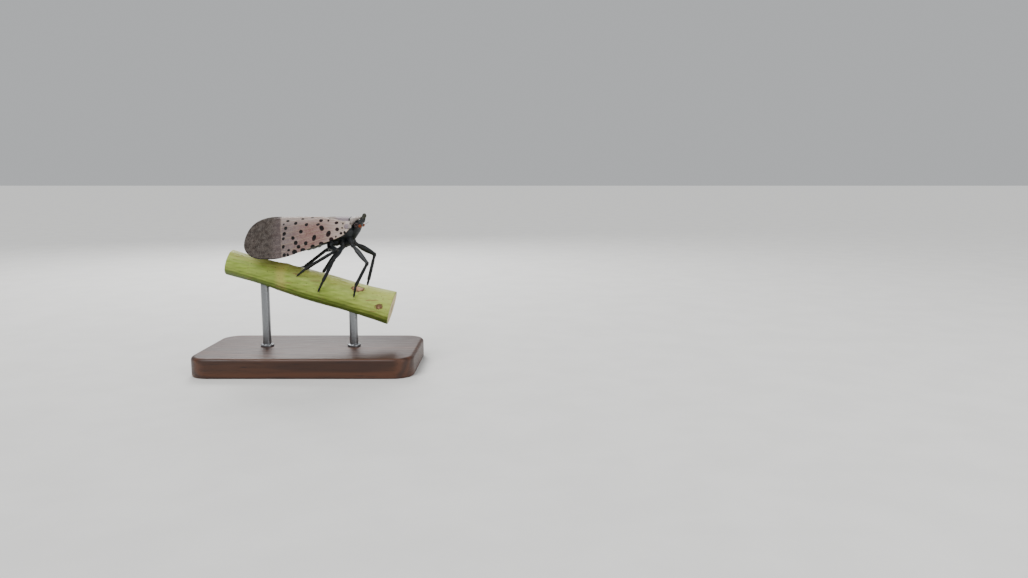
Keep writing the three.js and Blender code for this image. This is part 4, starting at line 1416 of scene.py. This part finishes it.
# Caps over the wings' roots
cap = {
    "x": 8.4, "across": 3.4, "length": 0.75, "width": 0.5, "height": 0.24, "sunk": -0.02, "square": 0.7,
    "rows": 28, "sides": 48, "wave": 0.03,
}
for name, side in sides.items():
    rings, marks = [], []
    for i in range(cap["rows"] + 1):
        turn = math.pi * clamp(i / cap["rows"], 0.004, 0.996)
        blunt = math.sin(turn) ** cap["square"]
        x = cap["x"] + cap["length"] * math.cos(turn)
        rings.append([])
        for a in turns(cap["sides"]):
            across = cap["across"] + cap["width"] * blunt * math.cos(a)
            rise = cap["height"] * blunt * bend(math.sin(a), cap["square"])
            depth = cap["sunk"] - rise + cap["wave"] * math.cos(x * 9)
            rings[-1].append(Vector(tentPoints(x, side * across, depth)))
            # painted shade: darker round the cap's rim, in the crease where it sits on the wing
            marks.append(clamp((0.45 - abs(math.sin(a)) * blunt) / 0.3))
    thing = Shape().loft(rings).piece("wing_root_cap_" + name, blackMark=marks)
    finishPiece(thing, "notum", notumFinish)
print("collar, shield and caps made")

# Abdomen: overlapping rings, yellow with black bands
abdomen = {
    "sections": [
        (-6.9, 0.75, 1.6, 0.42), (-6.0, 0.55, 2.35, 0.98), (-4.2, 0.65, 3.5, 1.68), (-2.0, 0.85, 4.4, 2.02),
        (0.2, 1.15, 5.0, 1.92), (2.2, 1.75, 5.5, 1.55), (2.9, 2.2, 5.4, 1.3),
    ],
    "rings": 9,
    "step": 0.15,
    # a ring's course: share of its length, and how far it stands out of the step
    "profile": [
        (0.02, 0.6), (0.06, 0.95), (0.12, 1.0), (0.3, 0.85), (0.5, 0.6), (0.7, 0.35), (0.86, 0.1), (0.95, 0),
    ],
    "fold": 0.12,
    "foldLevel": 0.38,
    "sides": 96,
    "bandAt": 0.55,  # of a ring's length
    "bandFade": 0.8,
}


def abdomenMaterial():
    f = Finish("bandedAbdomen", {"Specular IOR Level": 0.45})
    grain = f.grain(0.14, 0.35)
    yellow = f.mix(grain["Mottle"], "d0a628", "dcbc4a")
    black = f.mix(grain["Fine"], "141315", "26262a")
    base = f.tone(f.plus(f.read("band"), f.sway(0.5, 2.2, 3)), 0.42, 0.5, yellow, black)
    base = f.mix(f.bloom(8.0, 0.35, 0.3), base, "c9c3b4")
    return f.horny(base, grain, (0.4, 0.6), 0.35, 0.03)


rings, bands = [], []
for i in range(abdomen["rings"]):
    for share, out in abdomen["profile"]:
        x = between(abdomen["sections"][0][0], abdomen["sections"][-1][0], (i + share) / abdomen["rings"])
        low, high, half = readSections(abdomen["sections"], x)
        grown = out * abdomen["step"]
        rings.append(squareRing(x, low - grown, high + grown, half + grown, abdomen["sides"]))
        for point in rings[-1]:
            level = (point.z - low) / (high - low)
            pressIn(point, abdomen["fold"] * bell(level - abdomen["foldLevel"], 0.05))
            upper = 1.0 if level < abdomen["foldLevel"] else 1.15
            dark = clamp(1 - abs(share - abdomen["bandAt"]) / abdomen["bandFade"])
            bands.append(dark * upper + 0.25 * clamp(x + 1.5))
belly = Shape().loft(rings).piece("abdomen_rings", band=bands)
rounding = belly.modifiers.new("roundRims", "SUBSURF")
rounding.levels = rounding.render_levels = 1
settle(belly)
finishPiece(belly, "abdomen", abdomenMaterial(), "abdomen")
print("abdomen made")

# The stem
stem = {
    "halfLength": 16.5,
    "tilt": 0.29,
    "level": -6.2,
    "radius": 3.05,
    "taper": 0.026,
    "swell": 0.12,
    "swellLength": 3.2,
    "uneven": 0.06,
    "sides": 168,
    "rows": 330,
    "endRings": (0.02, 0.12, 0.3, 0.5, 0.7, 0.85, 0.93, 0.965),  # shares of the radius
    "trim": 0.06,
    "node": -5.5,  # where a leaf once stood
    "nodeRise": 0.16,
    "groove": 0.05,
    "grooves": 23,
    # healed scars: where, and half length along and across
    "scars": [
        ((9.9, -2.0, -6.7), (1.5, 0.8)), ((14.3, -1.3, -7.6), (1.3, 0.16)), ((14.4, -2.9, -10.2), (1.1, 0.7)),
        ((2.2, 2.4, -5.0), (1.0, 0.4)), ((-12.0, 1.0, -0.2), (1.1, 0.3)),
    ],
}
stemUp = Vector((stem["tilt"], 0, 1)).normalized()


def stemPoint(x):
    return Vector((x, 0, stem["level"] - stem["tilt"] * x))


def stemRadius(x):
    return stem["radius"] + stem["taper"] * x + stem["swell"] * math.cos(x / stem["swellLength"])


def stemSurface(x, turn, out=0.0):
    c, s = math.cos(turn), math.sin(turn)
    broad = noise.noise(Vector((x * 0.22, c * 1.7, s * 1.7)))
    fine = noise.noise(Vector((x * 0.9 + 7, c * 6.8 + 3, s * 6.8 + 1)))
    ribs = stem["groove"] * (0.5 * math.sin(turn * stem["grooves"] + 1.6 * broad + x * 0.06) + 0.5 * fine)
    node = stem["nodeRise"] * bell(x - stem["node"], 0.9) * (0.6 + 0.4 * s)
    reach = stemRadius(x) - stem["uneven"] + stem["uneven"] * broad + ribs * 0.8 + node + out
    return stemPoint(x) + stemUp * (reach * s) + Vector((0, reach * c, 0))


def stemMesh():
    rings, radial, cutEnd = [], [], []

    def addRing(x, share, out, cut):
        points = [stemSurface(x, turn, out) for turn in turns(stem["sides"])]
        rings.append([stemPoint(x).lerp(point, share) for point in points] if cut else points)
        radial.extend([share] * stem["sides"])
        cutEnd.extend([cut] * stem["sides"])

    for share in stem["endRings"]:
        addRing(-stem["halfLength"], share, 0.0, 1.0)
    for i in range(stem["rows"] + 1):
        trim = stem["trim"] if i in (0, stem["rows"]) else 0.0
        addRing(between(-stem["halfLength"], stem["halfLength"], i / stem["rows"]), 1.0, -trim, 0.0)
    for share in reversed(stem["endRings"]):
        addRing(stem["halfLength"], share, 0.0, 1.0)
    return Shape().loft(rings).piece("vine_stem", radial=radial, cutEnd=cutEnd)


# One healed scar over the bark so far: a pale middle in a dark torn rim
def addScar(f, base, place, reach):
    away = f.vectors("SUBTRACT", f.vector, place)
    shrunk = f.vectors("MULTIPLY", away, (1 / reach[0], 1 / reach[1], 1 / reach[1]))
    gap = f.add("ShaderNodeVectorMath", {0: shrunk}, operation="LENGTH").outputs["Value"]
    torn = f.plus(gap, f.sway(1.3, 2.5, 4, 0.7))
    return f.tone(torn, 1.05, 0.9, base, f.tone(torn, 0.75, 0.5, "5e4325", "b48a6a"))


def cutWood(f):
    radial = f.read("radial")
    wood = f.tone(f.speckle(5, 4), 0.3, 0.7, "cdbb85", "b9a468")
    wood = f.tone(radial, 0.3, 0.2, wood, "8f7647")
    wood = f.tone(radial, 0.86, 0.92, wood, "7f9a45")
    wood = f.tone(radial, 0.955, 0.975, wood, "5b4a2c")
    return f.tone(f.speckle(2.5, 4), 0.45, 0.7, wood, "97814c", 0.3)


def stemMaterial():
    f = Finish("greenBark", {"Specular IOR Level": 0.4})
    long = f.millimetres((0.16, 1, 1))
    x, upward = f.split(f.vector)["X"], f.upward()
    streaks = f.speckle(2.2, 6, 0.6, long)
    green = f.tone(streaks, 0.32, 0.66, "7d922e", "9cae4c")
    yellow = f.tone(streaks, 0.3, 0.7, "aaaa50", "c0c070")
    # painted highlight: the upward-facing top is paler and yellower
    base = f.tone(upward, 0.25, 0.95, green, yellow, 0.8)
    base = f.tone(x, 3, 14, base, "bcc763", 0.4)
    base = f.tone(f.maths("ABSOLUTE", f.plus(x, -stem["node"])), 1.6, 0.2, base, "c3b461", 0.55)
    base = f.mix(f.times(f.remap(f.speckle(0.35, 3), 0.35, 0.68), 0.35), base, "76853c")
    # painted shade: the downward-facing underside darkens to a deep green
    base = f.tone(upward, -0.15, -0.8, base, "3f5414", 0.8)
    for place, reach in stem["scars"]:
        base = addScar(f, base, place, reach)
    corky = f.remap(f.speckle(1.4, 5, 0.62, long), 0.6, 0.68)
    base = f.mix(f.times(corky, 0.75), base, "8a6e45")
    base = f.mix(f.times(f.remap(f.cells(1.15), 0.13, 0.07), 0.8), base, "3c3020")
    base = f.tone(f.cells(4.2), 0.12, 0.05, base, "4c4a26", 0.5)
    base = f.mix(f.read("cutEnd"), base, cutWood(f))
    height = f.plus(streaks, f.times(corky, 0.6))
    return f.done(base, f.remap(streaks, 0.2, 0.8, (0.45, 0.7)), height, 0.5, 0.08)


finishPiece(stemMesh(), "stem", stemMaterial(), "perch_stem")

lenticel = {"count": 150, "seed": 21, "reach": 16, "sunk": 0.02, "sizes": (0.5, 1.2)}
lenticelForm = {"Radius": 0.11, "Flatness": 0.45, "Fineness": 2}


def lenticelMaterial():
    f = Finish("corkyWart", {"Specular IOR Level": 0.3})
    fine = f.speckle(9, 4)
    base = f.tone(fine, 0.3, 0.7, "6e5633", "9b845a")
    return f.done(base, f.remap(fine, 0.2, 0.8, (0.65, 0.85)), fine, 0.5, 0.03)


picker = random.Random(lenticel["seed"])
places, ways, sizes = [], [], []
for _ in range(lenticel["count"]):
    x, turn = picker.uniform(-lenticel["reach"], lenticel["reach"]), picker.uniform(0, 2 * math.pi)
    places.append(stemSurface(x, turn, -lenticel["sunk"]))
    ways.append((places[-1] - stemPoint(x)).normalized())
    sizes.append(picker.uniform(*lenticel["sizes"]))
cork = lenticelMaterial()
warts = growOnPoints("stem_lenticels", places, ways, sizes, beads, cork, lenticelForm)
finishPiece(warts, "stem", cork)
print("stem made")

# The stand
stand = {
    "corner": 4.0,
    "edge": 0.7,  # rounding of the upper edge, and half as much below
    "rodAt": (-9.5, 8.5),
    "rodRadius": 0.86,
    "ferrule": (1.35, 0.5),  # radius and height
    "ferruleEdge": 0.12,
    "sunk": 0.8,  # the rods in the base
    "hidden": 0.9,  # the rods in the stem
}
low, high = (Vector(corner) * 1000 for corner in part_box("stand_base"))
halfX, halfY, thick = (high.x - low.x) / 2, (high.y - low.y) / 2, high.z - low.z


def roundedOutline(inset, level):
    a, b, r = halfX - inset, halfY - inset, max(stand["corner"] - inset, 0.5)
    ring = []
    for cx, cy, start in ((a - r, b - r, 0), (r - a, b - r, 90), (r - a, r - b, 180), (a - r, r - b, 270)):
        for k in range(25):
            turn = math.radians(start + 90 * k / 24)
            ring.append(Vector((cx + r * math.cos(turn), cy + r * math.sin(turn), level - bodyLevel)))
    return ring


def standBase():
    edge = stand["edge"]
    rings = [roundedOutline(edge * 4, 0.0), roundedOutline(edge * 0.5, 0.0)]
    for t in np.linspace(0.1, math.pi / 2, 6):
        rings.append(roundedOutline(edge * 0.5 * (1 - math.sin(t)), edge * 0.5 * (1 - math.cos(t))))
    for level in np.linspace(0.6, thick - edge - 0.1, 6):
        rings.append(roundedOutline(0.0, level))
    for t in np.linspace(0, math.pi / 2, 12):
        rings.append(roundedOutline(edge * (1 - math.cos(t)), thick - edge + edge * math.sin(t)))
    for inset in (0.3, 1.2, 3.0, 6.0, 9.0):
        rings.append(roundedOutline(edge + inset, thick))
    return Shape().loft(rings).piece("wooden_base")


# A rod's outline from the hole in the base up: level over the base's face, radius
def rodProfile(top):
    r, rim, (wide, tall) = stand["rodRadius"], stand["ferruleEdge"], stand["ferrule"]
    profile = [(-stand["sunk"], wide - 0.15), (0, wide), (tall - rim, wide)]
    profile += [(tall - rim + rim * math.sin(t), wide - rim * (1 - math.cos(t))) for t in (0.5, 1.0, 1.57)]
    profile += [(tall + 0.005, r + 0.05), (tall + 0.04, r)]
    profile += [(between(tall + 0.1, top - 0.05, k / 12), r) for k in range(13)]
    return profile + [(top, r - 0.06)]


def standRod(name, x):
    foot = thick - bodyLevel
    rings = []
    for level, radius in rodProfile(stemPoint(x).z - stemRadius(x) + stand["hidden"] - foot):
        ring = [(x + radius * math.cos(a), radius * math.sin(a), foot + level) for a in turns(64)]
        rings.append([Vector(point) for point in ring])
    return Shape().loft(rings).piece("steel_rod_" + name)


def woodMaterial():
    f = Finish("oiledWood", {"Specular IOR Level": 0.45}, (0.09, 1, 1))
    wave = f.speckle(0.11, 2, 0.4)
    ripple = f.plus(f.times(wave, 26.0), f.times(f.speckle(1.1, 3), 0.8))
    rings = f.remap(f.maths("PINGPONG", ripple, 1.0), 0.05, 0.95)
    pores = f.speckle(1.6, 4, 0.65, f.millimetres((0.14, 3.2, 3.2)))
    wood = f.mix(rings, "331b0e", "4d2b17")
    wood = f.tone(wave, 0.35, 0.65, wood, "3c2112", 0.6)
    wood = f.tone(pores, 0.58, 0.7, wood, "0f0805", 0.7)
    height = f.maths("SUBTRACT", rings, pores)
    return f.done(wood, f.remap(pores, 0.3, 0.7, (0.34, 0.55)), height, 0.25, 0.05)


def steelMaterial():
    f = Finish("brushedSteel", {"Metallic": 1.0}, (1, 1, 14))
    lines = f.speckle(2.4, 4, 0.6)
    base = f.tone(lines, 0.3, 0.7, "77797c", "96989b")
    return f.done(base, f.remap(lines, 0.25, 0.75, (0.22, 0.4)), lines, 0.15, 0.02)


finishPiece(standBase(), "base", woodMaterial(), "stand_base")
steel = steelMaterial()
for name, x in zip(("rear", "front"), stand["rodAt"]):
    rod = standRod(name, x)
    finishPiece(rod, "rod", steel, "stand_rod_" + name)
    rod.data.polygons.foreach_set("use_smooth", [len(p.vertices) == 4 for p in rod.data.polygons])
print("stand made")

# Floor
reach = 3.0
corners = [(-reach, -reach, 0), (reach, -reach, 0), (reach, reach, 0), (-reach, reach, 0)]
floor = makeObject("studio_floor", corners, [(0, 1, 2, 3)])
paper = Finish("palePaper", {"Specular IOR Level": 0.2})
grain = paper.speckle(90, 3, vector=paper.place)
floor.data.materials.append(paper.done(paper.tone(grain, 0.3, 0.7, "e4e3e0", "e9e8e5"), 0.85))
floor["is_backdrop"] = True

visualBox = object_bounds()
sizes = {
    "cad": [list(corner) for corner in cadBox],
    "visual": [list(corner) for corner in visualBox],
}
